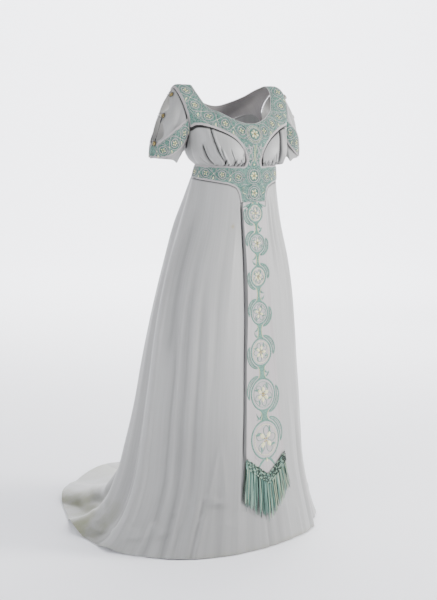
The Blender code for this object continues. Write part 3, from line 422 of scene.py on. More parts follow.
def skirt_plain(angle, fall):
    """A line from the waist to the hem at each angle, reached by the fall table's fractions."""
    angle, fall = np.broadcast_arrays(np.asarray(angle, float), np.asarray(fall, float))
    waist = bodice(angle, 0.0)
    hem = spline(HEM_ROUND[:, 0], HEM_ROUND[:, 1:], angle)
    rows = spline(FALL[:, 0], FALL[:, 1:], fall)
    reach = across(FALL_ANGLES, rows[..., 0::2], np.abs(angle))
    height = across(FALL_ANGLES, rows[..., 1::2], np.abs(angle))
    plan = waist[..., :2] + reach[..., None] * (hem - waist[..., :2])
    level = (waist[..., 2] + SHOULDER_HEIGHT) * height - SHOULDER_HEIGHT
    return np.concatenate((plan, level[..., None]), -1)


def outward(surface, first, second, turn=1.0):
    """Unit normals of a two-parameter surface, from small steps along both parameters."""
    first, second = np.broadcast_arrays(np.asarray(first, float), np.asarray(second, float))
    step_first, step_second = 0.5, 0.004
    second = np.clip(second, 2 * step_second, 1 - 2 * step_second)
    along = surface(first + step_first, second) - surface(first - step_first, second)
    down = surface(first, second + step_second) - surface(first, second - step_second)
    return unit(np.cross(along, down)) * turn


def fold_height(angle, fall):
    """The main folds: a sum of bell curves that drift down the cloth."""
    total = np.zeros(np.broadcast(angle, fall).shape)
    for at_waist, at_hem, half, *depths in FOLDS:
        centre = at_waist + (at_hem - at_waist) * fall
        depth = spline(FOLD_LEVELS, np.array(depths), fall)
        total = total + depth * np.exp(-(((angle - centre) / half) ** 2))
    return total


def creases(table, first, second):
    """Each crease is a bell curve round a slanted line, which fades in and out along it."""
    total = np.zeros(np.broadcast(first, second).shape)
    for first_start, second_start, first_end, second_end, half, height in table:
        along = (second - second_start) / (second_end - second_start)
        centre = first_start + (first_end - first_start) * np.clip(along, 0.0, 1.0)
        end = 1.0 if second_end > 1.0 else ease((1 - along) / 0.35)
        strength = ease(along / 0.3) * end
        total += height * MM * strength * np.exp(-np.abs((first - centre) / half) ** 1.7)
    return total


def cross_creases(angle, fall):
    """Each is a bell curve in both directions, turned by its slope."""
    total = np.zeros(np.broadcast(angle, fall).shape)
    for centre, level, long, wide, slope, height in CROSS_CREASES:
        along = (angle - centre) / long
        off = (fall - level - slope * (angle - centre)) / wide
        total += height * MM * np.exp(-along**2 - off**2)
    return total


def on_floor(points, angle, fall):
    """The train stops at the floor."""
    floor = -SHOULDER_HEIGHT + CLOTH + TRAIN_CLEAR
    lying = ease((np.abs(angle) - 95.0) / 10.0) * ease((np.asarray(fall) - 0.7) / 0.1)
    level = points[..., 2]
    points[..., 2] = np.where((level < floor) & (lying > 0.5), floor, level)
    return points


def skirt(angle, fall):
    """The plain skirt moved out along its normals by the main folds."""
    normals = outward(skirt_plain, angle, fall, -1.0)
    points = skirt_plain(angle, fall) + normals * fold_height(angle, fall)[..., None]
    return on_floor(points, angle, fall)


def creased_skirt(angle, fall, strength):
    """The skirt with its small creases, which leave the panel's place and the edges alone."""
    normals = outward(skirt_plain, angle, fall, -1.0)
    top = ease((fall - band_fall(angle)) / 0.03)
    small = (creases(CREASES, angle, fall) + cross_creases(angle, fall)) * strength * top
    points = skirt_plain(angle, fall) + normals * (fold_height(angle, fall) + small)[..., None]
    return on_floor(points, angle, fall)


def fall_at(angle, height):
    """The skirt's fall at a height above the floor: the part of the waist's height above it."""
    return 1 - height / (bodice(angle, 0.0)[..., 2] + SHOULDER_HEIGHT)


def band_fall(angle):
    """The fall where the waistband ends and the skirt shows."""
    return fall_at(angle, spline(BAND_EDGE[:, 0], BAND_EDGE[:, 1], np.abs(angle)))


def armhole(turn):
    """The armhole's angle and rise, from the shoulder (0) by the front (90) to the underarm."""
    turn = np.radians(turn)
    half = ARMHOLE_HALF_ANGLE * np.sin(turn) + ARMHOLE_WIDER * np.sin(2 * turn)
    return ARMHOLE_ANGLE - half, ARMHOLE_RISE + ARMHOLE_HALF_RISE * np.cos(turn)


def sleeve(side, turn, fall):
    """A line from the armhole to a ring round the arm at each turn, puffed out between."""
    turn, fall = np.broadcast_arrays(np.asarray(turn, float), np.asarray(fall, float))
    angle, rise = armhole(turn)
    start = bodice(side * angle, rise)
    radians = np.radians(turn)
    out = np.stack((side * np.cos(radians), -np.sin(radians), 0 * radians), -1)
    level = spline(SLEEVE_HEM[:, 0], SLEEVE_HEM[:, 1], np.mod(turn, 360.0)) - SHOULDER_HEIGHT
    centre = np.stack((side * ARM_X + 0 * level, ARM_Y + 0 * level, level), -1)
    end = centre + out * ARM_RADIUS
    top = np.maximum(np.cos(radians), 0.0)
    shoulder = unit(out + np.array((0.0, 0.0, 0.55)) * top[..., None])
    puff = SLEEVE_PUFF * (0.5 + 0.5 * np.cos(radians)) + SHOULDER_PUFF * top
    bulge = 4 * fall * (1 - fall) * puff
    return start + (end - start) * fall[..., None] + shoulder * bulge[..., None]


def sleeve_normals(side, turn, fall):
    """The sleeve's outward directions, read a little inside its two edges."""
    return outward(partial(sleeve, side), turn, np.clip(fall, 0.01, 0.99), side)


def plastron_side(rise):
    """The angle of the plastron's side below the arch."""
    return np.interp(rise, PLASTRON_SIDE[:, 0], PLASTRON_SIDE[:, 1])


def panel_half_width(height):
    """A smooth curve through the panel's table."""
    return spline(PANEL[:, 0], PANEL[:, 1], height)


def panel_hem(across_panel):
    """The height of the panel's pointed lower edge."""
    depth = PANEL_SIDE_HEIGHT - PANEL_POINT_HEIGHT
    return PANEL_SIDE_HEIGHT - depth * (1 - abs(across_panel))


def on_skirt_front(place, fall):
    """Angle of the skirt where its cloth lies at a given distance left of the centre line."""
    angles = np.linspace(-60.0, 60.0, 61)
    levels = np.linspace(0.0, 1.0, 101)
    lines = skirt_plain(angles[None, :], levels[:, None])[..., 0]
    place, fall = np.broadcast_arrays(place, fall)
    row = np.clip(fall * 100.0, 0.0, 99.999)
    low = row.astype(int)
    part = (row - low)[..., None]
    table = (lines[low] * (1 - part) + lines[low + 1] * part).reshape(-1, len(angles))
    flat = place.ravel()
    column = (table < flat[:, None]).sum(1).clip(1, len(angles) - 1)
    index = np.arange(len(column))
    before, after = table[index, column - 1], table[index, column]
    step = (angles[1] - angles[0]) * (flat - before) / (after - before)
    return (angles[column - 1] + step).reshape(place.shape)


def over_skirt(across_panel, height, stand):
    """A point over the skirt's front, at a part of the panel's width and a height."""
    angle = on_skirt_front(across_panel * panel_half_width(height), 1 - height / BODICE[0, 2])
    fall = fall_at(angle, height)
    normals = outward(skirt, angle, fall, -1.0)
    return skirt(angle, fall) + normals * np.asarray(stand)[..., None], normals


def grid_faces(rows, columns):
    """Quads of a grid of points."""
    first = np.arange((rows - 1) * columns).reshape(rows - 1, columns)[:, :-1].ravel()
    return np.stack((first, first + 1, first + columns + 1, first + columns), -1)


def grid_normals(points, like):
    """Unit normals from a grid's own steps, on the side of the given ones."""
    normals = unit(np.cross(np.gradient(points, axis=1), np.gradient(points, axis=0)))
    return normals * np.sign((normals * like).sum(-1, keepdims=True).mean())


def side_quads(near, far):
    """Quads between rings of points, whose numbers run round the last axis."""
    corners = (near, np.roll(near, -1, -1), np.roll(far, -1, -1), far)
    return np.stack(corners, -1).reshape(-1, 4)


def step_lengths(points, axis):
    """How far each point lies from the one before it."""
    return np.linalg.norm(np.diff(points, axis=axis), axis=-1)


def lengths_along(steps):
    """Lengths from the start of a path: the sums of its steps, along the last axis."""
    return np.concatenate((0 * steps[..., :1], np.cumsum(steps, -1)), -1)


def metre_uv(points):
    """A grid's mean lengths along its columns and down its rows, in metres."""
    u, v = lengths_along(step_lengths(points, 1).mean(0)), -lengths_along(step_lengths(points, 0).mean(1))
    return np.stack(np.broadcast_arrays(u[None, :], v[:, None]), -1).reshape(-1, 2)


def quad_mesh(name, points, quads, uv, values, finishes, finish_index=None):
    """An object from whole arrays: points, quads, a UV map in metres and named values."""
    mesh = bpy.data.meshes.new(name)
    mesh.vertices.add(len(points))
    mesh.vertices.foreach_set("co", np.ascontiguousarray(points, np.float32).ravel())
    mesh.loops.add(quads.size)
    mesh.loops.foreach_set("vertex_index", np.ascontiguousarray(quads, np.int32).ravel())
    mesh.polygons.add(len(quads))
    mesh.polygons.foreach_set("loop_start", np.arange(0, quads.size, 4, dtype=np.int32))
    layer = mesh.uv_layers.new(name=WEAVE_UV)
    layer.data.foreach_set("uv", np.ascontiguousarray(uv[quads.ravel()], np.float32).ravel())
    for title, value in values.items():
        attribute = mesh.attributes.new(title, "FLOAT", "POINT")
        attribute.data.foreach_set("value", np.ascontiguousarray(value, np.float32))
    for finish in finishes:
        mesh.materials.append(finish)
    if finish_index is not None:
        mesh.polygons.foreach_set("material_index", finish_index.astype(np.int32))
    mesh.update(calc_edges=True)
    mesh.validate()
    mesh.shade_smooth()
    mesh.set_sharp_from_angle(angle=math.radians(60))
    made = bpy.data.objects.new(name, mesh)
    bpy.context.scene.collection.objects.link(made)
    return made


def facing_out(points, quads):
    """The quads, turned round where the volume that they close comes out below zero."""
    corners = points[quads]
    first = np.einsum("ij,ij->i", corners[:, 0], np.cross(corners[:, 1], corners[:, 2]))
    second = np.einsum("ij,ij->i", corners[:, 0], np.cross(corners[:, 2], corners[:, 3]))
    return quads[:, ::-1] if (first + second).sum() < 0 else quads


def shell(name, points, normals, faces, thick, uv, values, *finishes):
    """A thin closed cloth: outer points, the same points moved in, and a strip round the rim.

    A second finish covers the inner side, which has no painted shade.
    """
    count = len(points)
    edges = np.concatenate([faces[:, (k, (k + 1) % 4)] for k in range(4)])
    lone = ~np.isin(edges[:, 0] * count + edges[:, 1], edges[:, 1] * count + edges[:, 0])
    rim = edges[lone]
    strip = np.stack((rim[:, 1], rim[:, 0], rim[:, 0] + count, rim[:, 1] + count), -1)
    every = np.vstack((points, points - normals * thick))
    quads = facing_out(every, np.vstack((faces, faces[:, ::-1] + count, strip)))
    doubled = {}
    for title, value in values.items():
        # The inner side gets no painted shade
        doubled[title] = np.concatenate((value, value * (title != "hollow")))
    inner = np.zeros(len(quads))
    inner[len(faces) : 2 * len(faces)] = len(finishes) - 1
    return quad_mesh(name, every, quads, np.vstack((uv, uv)), doubled, finishes, inner)


def grid_shell(name, points, like, thick, values, *finishes):
    """A thin closed cloth from a grid of points."""
    size = points.shape[:2]
    normals = grid_normals(points, like).reshape(-1, 3)
    flat = {title: np.broadcast_to(value, size).ravel() for title, value in values.items()}
    parts = (points.reshape(-1, 3), normals, grid_faces(*size), thick, metre_uv(points))
    return shell(name, *parts, flat, *finishes)


def settle(piece, node):
    """What every cloth piece says: where it rides and what it stands for."""
    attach(piece, "root")
    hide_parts(node)


def silk_piece(node, points, like, values):
    """A cloth of plain silk that stands for one node."""
    thick = bpy.context.scene.dress_sizes.cloth
    piece = grid_shell(f"{node}_cloth", points, like, thick, values, finish("silk_satin"))
    settle(piece, node)


def trim_finishes():
    """The stitched ground outside, and the plain cloth on the inner side."""
    return finish("embroidered_ground"), finish("margin_silk")


def trim_piece(node, points, like, thick, edge):
    """An embroidered trim that stands for one node."""
    values = {"edge": edge}
    piece = grid_shell(f"{node}_cloth", points, like, thick, values, *trim_finishes())
    settle(piece, node)


def fasten(piece, node=None):
    """What every other piece says: where it rides and what it stands for, if any."""
    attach(piece, "root")
    if node is not None:
        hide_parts(node)


# Shader nodes

def link(tree, start, end):
    """Joins an output socket to an input socket."""
    tree.links.new(start, end)


def add_node(tree, kind, **settings):
    """A shader node with its settings; a setting that names an input goes to that socket."""
    node = tree.nodes.new(kind)
    for title, value in settings.items():
        socket = node.inputs.get(title)
        if socket is not None and not hasattr(type(node), title):
            socket.default_value = value
        else:
            setattr(node, title, value)
    return node


def mix_colour(tree, factor, first, second):
    """Blends two colours, each a socket or a plain colour, by a factor socket."""
    node = add_node(tree, "ShaderNodeMix", data_type="RGBA")
    link(tree, factor, node.inputs["Factor"])
    ends = [socket for socket in node.inputs if socket.type == "RGBA"]
    for colour, end in zip((first, second), ends):
        if isinstance(colour, bpy.types.NodeSocket):
            link(tree, colour, end)
        else:
            end.default_value = (*colour, 1.0)
    return [socket for socket in node.outputs if socket.type == "RGBA"][0]


def maths(tree, operation, first, second=0.0):
    """One step of arithmetic on two values, each a socket or a plain number."""
    node = add_node(tree, "ShaderNodeMath", operation=operation)
    for value, socket in zip((first, second), node.inputs):
        if isinstance(value, bpy.types.NodeSocket):
            link(tree, value, socket)
        else:
            socket.default_value = value
    return node.outputs[0]


def smooth_step(tree, value, low, high):
    """0 below a limit, 1 above another, and eased between them."""
    node = add_node(tree, "ShaderNodeMapRange", interpolation_type="SMOOTHSTEP")
    link(tree, value, node.inputs["Value"])
    node.inputs["From Min"].default_value = low
    node.inputs["From Max"].default_value = high
    return node.outputs["Result"]


def blend(tree, value, low, high, first, second):
    """Two colours, mixed by where a value lies between two limits."""
    return mix_colour(tree, smooth_step(tree, value, low, high), first, second)


def noise(tree, place, **settings):
    """A noise texture's value at a place socket."""
    texture = add_node(tree, "ShaderNodeTexNoise", **settings)
    link(tree, place, texture.inputs["Vector"])
    return texture.outputs[0]


def stretched(tree, place, scale):
    """A place socket scaled along each axis."""
    mapping = add_node(tree, "ShaderNodeMapping")
    mapping.inputs["Scale"].default_value = scale
    link(tree, place, mapping.inputs[0])
    return mapping.outputs[0]


def sine_ridges(tree, place, pitch):
    """A sine along a place socket, with one turn in each pitch."""
    turns = maths(tree, "DIVIDE", place, pitch)
    return maths(tree, "SINE", maths(tree, "MULTIPLY", turns, 2 * math.pi))


def object_place(tree):
    """The place in the part's own space."""
    return add_node(tree, "ShaderNodeTexCoord").outputs["Object"]


def cloth_place(tree):
    """The place on the cloth's own map in metres, and its two axes."""
    place = add_node(tree, "ShaderNodeUVMap", uv_map=WEAVE_UV).outputs[0]
    split = add_node(tree, "ShaderNodeSeparateXYZ")
    link(tree, place, split.inputs[0])
    return place, split.outputs["X"], split.outputs["Y"]


def read_value(tree, title):
    """A value that the mesh holds at each point."""
    return add_node(tree, "ShaderNodeAttribute", attribute_name=title).outputs["Fac"]


def new_group(name, inputs, outputs):
    """A node group with named value sockets, and the nodes at its two ends."""
    group = bpy.data.node_groups.new(name, "ShaderNodeTree")
    for title, value in inputs.items():
        socket = group.interface.new_socket(title, in_out="INPUT", socket_type="NodeSocketFloat")
        socket.default_value = value
    for title in outputs:
        group.interface.new_socket(title, in_out="OUTPUT", socket_type="NodeSocketFloat")
    return group, add_node(group, "NodeGroupInput"), add_node(group, "NodeGroupOutput")


def weave_group():
    """Shared by every cloth: fine warp and weft ribs, slubs, and soft streaks along the warp."""
    name = "cloth_weave"
    if name in bpy.data.node_groups:
        return bpy.data.node_groups[name]
    outputs = ("Height", "Streaks", "Clouds")
    group, inside, outside = new_group(name, {"Thread": 0.0006, "Slub": 1.0}, outputs)
    place, *axes = cloth_place(group)
    warp, weft = (sine_ridges(group, axis, inside.outputs["Thread"]) for axis in axes)
    ribs = maths(group, "MULTIPLY", maths(group, "MULTIPLY", warp, weft), RIB_HEIGHT)
    slubs = noise(group, stretched(group, place, SLUB_SCALE), Scale=1.0, Detail=3.0)
    slub = maths(group, "MULTIPLY", slubs, inside.outputs["Slub"])
    streaks = noise(group, stretched(group, place, STREAK_SCALE), Scale=1.0, Detail=4.0, Roughness=0.6)
    clouds = noise(group, object_place(group), Scale=5.0, Detail=3.0)
    for title, value in zip(outputs, (maths(group, "ADD", ribs, slub), streaks, clouds)):
        link(group, value, outside.inputs[title])
    return group


def stitch_group():
    """Shared by the embroidery: satin stitches side by side, and thread that catches light."""
    name = "satin_stitch"
    if name in bpy.data.node_groups:
        return bpy.data.node_groups[name]
    group, inside, outside = new_group(name, {"Pitch": 0.0007}, ("Height", "Shade"))
    place, along, _ = cloth_place(group)
    wander = maths(group, "MULTIPLY", noise(group, place, Scale=160.0, Detail=2.0), STITCH_WANDER)
    ridges = sine_ridges(group, maths(group, "ADD", along, wander), inside.outputs["Pitch"])
    link(group, ridges, outside.inputs["Height"])
    shade = noise(group, object_place(group), Scale=240.0, Detail=2.0)
    link(group, shade, outside.inputs["Shade"])
    return group


def place_group(tree, group, **values):
    """A shared group with this material's own values."""
    node = add_node(tree, "ShaderNodeGroup", node_tree=group)
    for title, value in values.items():
        node.inputs[title].default_value = value
    return node


def principled(name, roughness, sheen=0.0, metallic=0.0, specular=0.5):
    """A material with plain values set on the shader's own sockets."""
    made = bpy.data.materials.new(name)
    made.use_nodes = True
    shader = made.node_tree.nodes["Principled BSDF"]
    shader.inputs["Roughness"].default_value = roughness
    shader.inputs["Metallic"].default_value = metallic
    shader.inputs["Sheen Weight"].default_value = sheen
    shader.inputs["Sheen Roughness"].default_value = 0.35
    shader.inputs["Sheen Tint"].default_value = (1.0, 1.0, 1.0, 1.0)
    shader.inputs["Specular IOR Level"].default_value = specular
    return made, made.node_tree, shader


def paint(tree, shader, colour, height, strength, distance):
    """Joins a finish's colour and the bump of its surface to its shader."""
    link(tree, colour, shader.inputs["Base Color"])
    bump = add_node(tree, "ShaderNodeBump", Strength=strength, Distance=distance)
    link(tree, height, bump.inputs["Height"])
    link(tree, bump.outputs[0], shader.inputs["Normal"])


def scaled(colour, factor):
    """The same colour, darker or lighter."""
    return tuple(channel * factor for channel in colour)


def silk_finish(name, colours):
    """Grey satin: streaks along the warp, soft clouds, soiling where the train lay, a spot, and painted
    shade.
    """
    made, tree, shader = principled(name, 0.42, sheen=0.25, specular=0.42)
    weave = place_group(tree, weave_group())
    streaks = weave.outputs["Streaks"]
    silk = tuple(colours.silk)
    base = blend(tree, streaks, 0.35, 0.65, scaled(silk, 0.955), scaled(silk, 1.035))
    clouds = maths(tree, "MULTIPLY", smooth_step(tree, weave.outputs["Clouds"], 0.40, 0.72), 0.35)
    clouded = mix_colour(tree, clouds, base, scaled(silk, 0.93))
    patches = noise(tree, object_place(tree), Scale=7.0, Detail=5.0, Roughness=0.62)
    soil = maths(tree, "MULTIPLY", read_value(tree, "soil"), smooth_step(tree, patches, 0.30, 0.62))
    soiled = mix_colour(tree, soil, clouded, tuple(colours.soil))
    spot = maths(tree, "MULTIPLY", read_value(tree, "spot"), SPOT_STRENGTH)
    spotted = mix_colour(tree, spot, soiled, tuple(colours.spot))
    # Painted shade: the silk darkens towards a near-black copy of itself where the painted shade value is
    # high
    shade_painted = mix_colour(tree, read_value(tree, "hollow"), spotted, scaled(silk, DARKEST_PAINTED_SHADE))
    rough = maths(tree, "ADD", maths(tree, "MULTIPLY", streaks, 0.16), 0.36)
    link(tree, rough, shader.inputs["Roughness"])
    paint(tree, shader, shade_painted, weave.outputs["Height"], 0.16, 0.0003)
    return made


def pale_cloth(tree, weave, pale):
    """The colour of the cloth under the embroidery, which shimmers along its warp."""
    return blend(tree, weave.outputs["Streaks"], 0.3, 0.7, scaled(pale, 0.94), scaled(pale, 1.04))


def margin_finish(name, colours):
    """The pale rose-grey cloth that the embroidery is worked on, darker on the panel."""
    made, tree, shader = principled(name, 0.5, sheen=0.2, specular=0.4)
    weave = place_group(tree, weave_group(), Slub=1.4)
    pale = scaled(colours.margin, PANEL_SHADE if name == "panel_silk" else 1.0)
    paint(tree, shader, pale_cloth(tree, weave, pale), weave.outputs["Height"], 0.25, 0.0003)
    return made


def ground_finish(name, colours):
    """Teal stitching that fills a trim up to its pale margin, with pale cloth between stitches."""
    made, tree, shader = principled(name, 0.62, sheen=0.05, specular=0.22)
    weave = place_group(tree, weave_group(), Slub=1.2)
    stitch = place_group(tree, stitch_group(), Pitch=0.0011)
    margin = bpy.context.scene.dress_sizes.margin
    pale = tuple(colours.margin)
    place = object_place(tree)
    sway = maths(tree, "SUBTRACT", noise(tree, place, Scale=70.0, Detail=2.0), 0.5)
    edge = maths(tree, "ADD", read_value(tree, "edge"), maths(tree, "MULTIPLY", sway, MARGIN_WANDER))
    inside = smooth_step(tree, edge, margin - MARGIN_BLUR, margin + MARGIN_BLUR)
    tangle = noise(tree, place, Scale=115.0, Detail=3.0, Roughness=0.55, Distortion=1.4)
    lines = maths(tree, "ABSOLUTE", maths(tree, "SUBTRACT", tangle, 0.5))
    gaps = maths(tree, "SUBTRACT", 1.0, smooth_step(tree, lines, 0.012, 0.040))
    shade = stitch.outputs["Shade"]
    teal = blend(tree, shade, 0.35, 0.65, tuple(colours.deep_teal), tuple(colours.teal))
    filled = mix_colour(tree, maths(tree, "MULTIPLY", gaps, 0.42), teal, pale)
    colour = mix_colour(tree, inside, pale_cloth(tree, weave, pale), filled)
    ridges = maths(tree, "SUBTRACT", maths(tree, "MULTIPLY", stitch.outputs["Height"], 0.5), gaps)
    height = maths(tree, "ADD", weave.outputs["Height"], maths(tree, "MULTIPLY", inside, ridges))
    paint(tree, shader, colour, height, 0.45, 0.0006)
    return made


def stitched(made, tree, shader, pitch, colour, dark, light, strength, distance):
    """Thread laid side by side, in shades between a darker and a lighter one."""
    stitch = place_group(tree, stitch_group(), Pitch=pitch)
    shades = (scaled(colour, dark), scaled(colour, light))
    base = blend(tree, stitch.outputs["Shade"], 0.3, 0.7, *shades)
    paint(tree, shader, base, stitch.outputs["Height"], strength, distance)
    return made


def thread_finish(name, colours):
    """Silk thread in satin stitch."""
    title, dark, light = THREADS[name]
    parts = principled(name, 0.46, sheen=0.05, specular=0.3)
    return stitched(*parts, 0.0007, getattr(colours, title), dark, light, 0.4, 0.0003)


def cord_finish(name, colours):
    """Black silk cord with a twist."""
    parts = principled(name, 0.55, sheen=0.2)
    return stitched(*parts, 0.0012, colours.cord, 0.6, 1.8, 0.6, 0.0004)


def fringe_finish(name, colours):
    """Twisted silk strands, each of its own shade."""
    made, tree, shader = principled(name, 0.36, sheen=0.15, specular=0.5)
    stitch = place_group(tree, stitch_group(), Pitch=0.002)
    ramp = add_node(tree, "ShaderNodeValToRGB")
    link(tree, read_value(tree, "shade"), ramp.inputs[0])
    mint = tuple(1.6 * part + 0.04 for part in colours.teal)
    pale = tuple(0.5 * (first + second) for first, second in zip(mint, colours.cream))
    stops = ramp.color_ramp.elements
    for stop, colour in zip(stops, (scaled(colours.olive, 0.6), pale)):
        stop.color = (*colour, 1.0)
    for position, colour in ((0.3, colours.deep_teal), (0.55, colours.teal), (0.8, mint)):
        stops.new(position).color = (*colour, 1.0)
    paint(tree, shader, ramp.outputs[0], stitch.outputs["Height"], 0.5, 0.0005)
    return made


def gilt_finish(name, colours):
    """Worn gilt: brighter and smoother in patches, brown and rougher between them."""
    made, tree, shader = principled(name, 0.34, metallic=1.0)
    wear = noise(tree, object_place(tree), Scale=420.0, Detail=4.0)
    worn = smooth_step(tree, wear, 0.36, 0.62)
    base = mix_colour(tree, worn, scaled(colours.gilt, 0.45), tuple(colours.gilt))
    rough = maths(tree, "SUBTRACT", 0.55, maths(tree, "MULTIPLY", worn, 0.28))
    link(tree, rough, shader.inputs["Roughness"])
    paint(tree, shader, base, wear, 0.3, 0.0003)
    return made


# Each thread: its colour's name, then how dark and how light its stitches are
THREADS = {
    "thread_teal": ("teal", 0.72, 1.15),
    "thread_deep": ("deep_teal", 0.72, 1.15),
    "thread_cream": ("cream", 0.86, 1.08),
    "thread_rose": ("margin", 0.82, 1.12),
    "thread_gold": ("gold", 0.75, 1.15),
}
TEAL, DEEP, CREAM, ROSE, GOLD = range(5)
FINISHES = {
    "silk_satin": silk_finish,
    "margin_silk": margin_finish,
    "panel_silk": margin_finish,
    "embroidered_ground": ground_finish,
    "fringe_thread": fringe_finish,
    "worn_gilt": gilt_finish,
    "twisted_cord": cord_finish,
    **dict.fromkeys(THREADS, thread_finish),
}


def finish(name):
    """A finish by its name, made the first time that it is asked for."""
    made = bpy.data.materials.get(name)
    if made is None:
        made = FINISHES[name](name, bpy.context.scene.dress_colours)
    return made


# Embroidery: raised strokes worked out flat, then laid on a trim

# A stroke's section: across it and up from the cloth, as parts of its half-width and height
SECTION = np.array((
    (-1.0, -0.15), (-0.75, 0.6), (0.0, 1.0), (0.75, 0.6), (1.0, -0.15), (0.0, -0.4),
))
START_CAP, END_CAP = ((3, 2, 1, 0), (5, 4, 3, 0)), ((0, 1, 2, 3), (0, 3, 4, 5))
# How high the strokes stand: fine lines, couched lines, rings and petals
LINE_LIFT, COUCHED_LIFT, RING_LIFT, PETAL_LIFT = 0.0009, 0.0012, 0.0013, 0.0018
# A leaf beside a medallion of the panel: how far from its ring, and its least room
FLANK_CLEAR, FLANK_ROOM = 0.004, 0.006
# Leaves and scrolls of the waistband's tongue, on both sides of its middle line: kind, place
# along and aside, lean, size, thread, width
TONGUE_SPRIGS = (
    ("leaf", 0.042, 0.004, 1.15, 0.022, DEEP, 0.0052),
    ("leaf", 0.050, 0.004, 0.5, 0.018, TEAL, 0.0046),
    ("curl", 0.044, 0.022, 1.2, 0.024, ROSE, 0.0020),
    ("curl", 0.074, 0.027, 1.6, 0.020, CREAM, 0.0018),
    ("leaf", 0.078, 0.020, 0.4, 0.014, DEEP, 0.0040),
    ("curl", 0.086, 0.010, 1.1, 0.018, ROSE, 0.0020),
)


def polar(turn):
    """Flat unit directions at angles in radians."""
    return np.stack((np.cos(turn), np.sin(turn)), -1)


def beside(ahead):
    """Flat directions turned a quarter to the left."""
    return np.stack((-ahead[..., 1], ahead[..., 0]), -1)


def rounded(line, half):
    """A closed loop: along a line on one side of it, and back on the other."""
    return np.vstack((line + half, (line - half)[-2:0:-1]))


def track_of(points, normals):
    """A trim as a flat strip: rows go along it, columns across it."""
    along = lengths_along(step_lengths(points[:, points.shape[1] // 2], 0))
    half = step_lengths(points, 1).sum(1) / 2
    return {"points": points, "normals": normals, "along": along, "half": half}


def laid(track, flat):
    """Flat x along, y across and z up, carried to the trim by bilinear steps on its grid."""
    rows, columns = track["points"].shape[:2]
    row = np.interp(flat[:, 0], track["along"], np.arange(rows))
    half = np.interp(flat[:, 0], track["along"], track["half"])
    column = (np.clip(flat[:, 1] / half, -1, 1) + 1) / 2 * (columns - 1)
    row = np.clip(row, 0, rows - 1.001)
    column = np.clip(column, 0, columns - 1.001)
    i, j = row.astype(int), column.astype(int)
    s, t = (row - i)[:, None], (column - j)[:, None]

    def between(grid):
        """Blends the four corners of the cell that each point lies in."""
        near = grid[i, j] * (1 - t) + grid[i, j + 1] * t
        far = grid[i + 1, j] * (1 - t) + grid[i + 1, j + 1] * t
        return near * (1 - s) + far * s

    return between(track["points"]) + unit(between(track["normals"])) * flat[:, 2:]


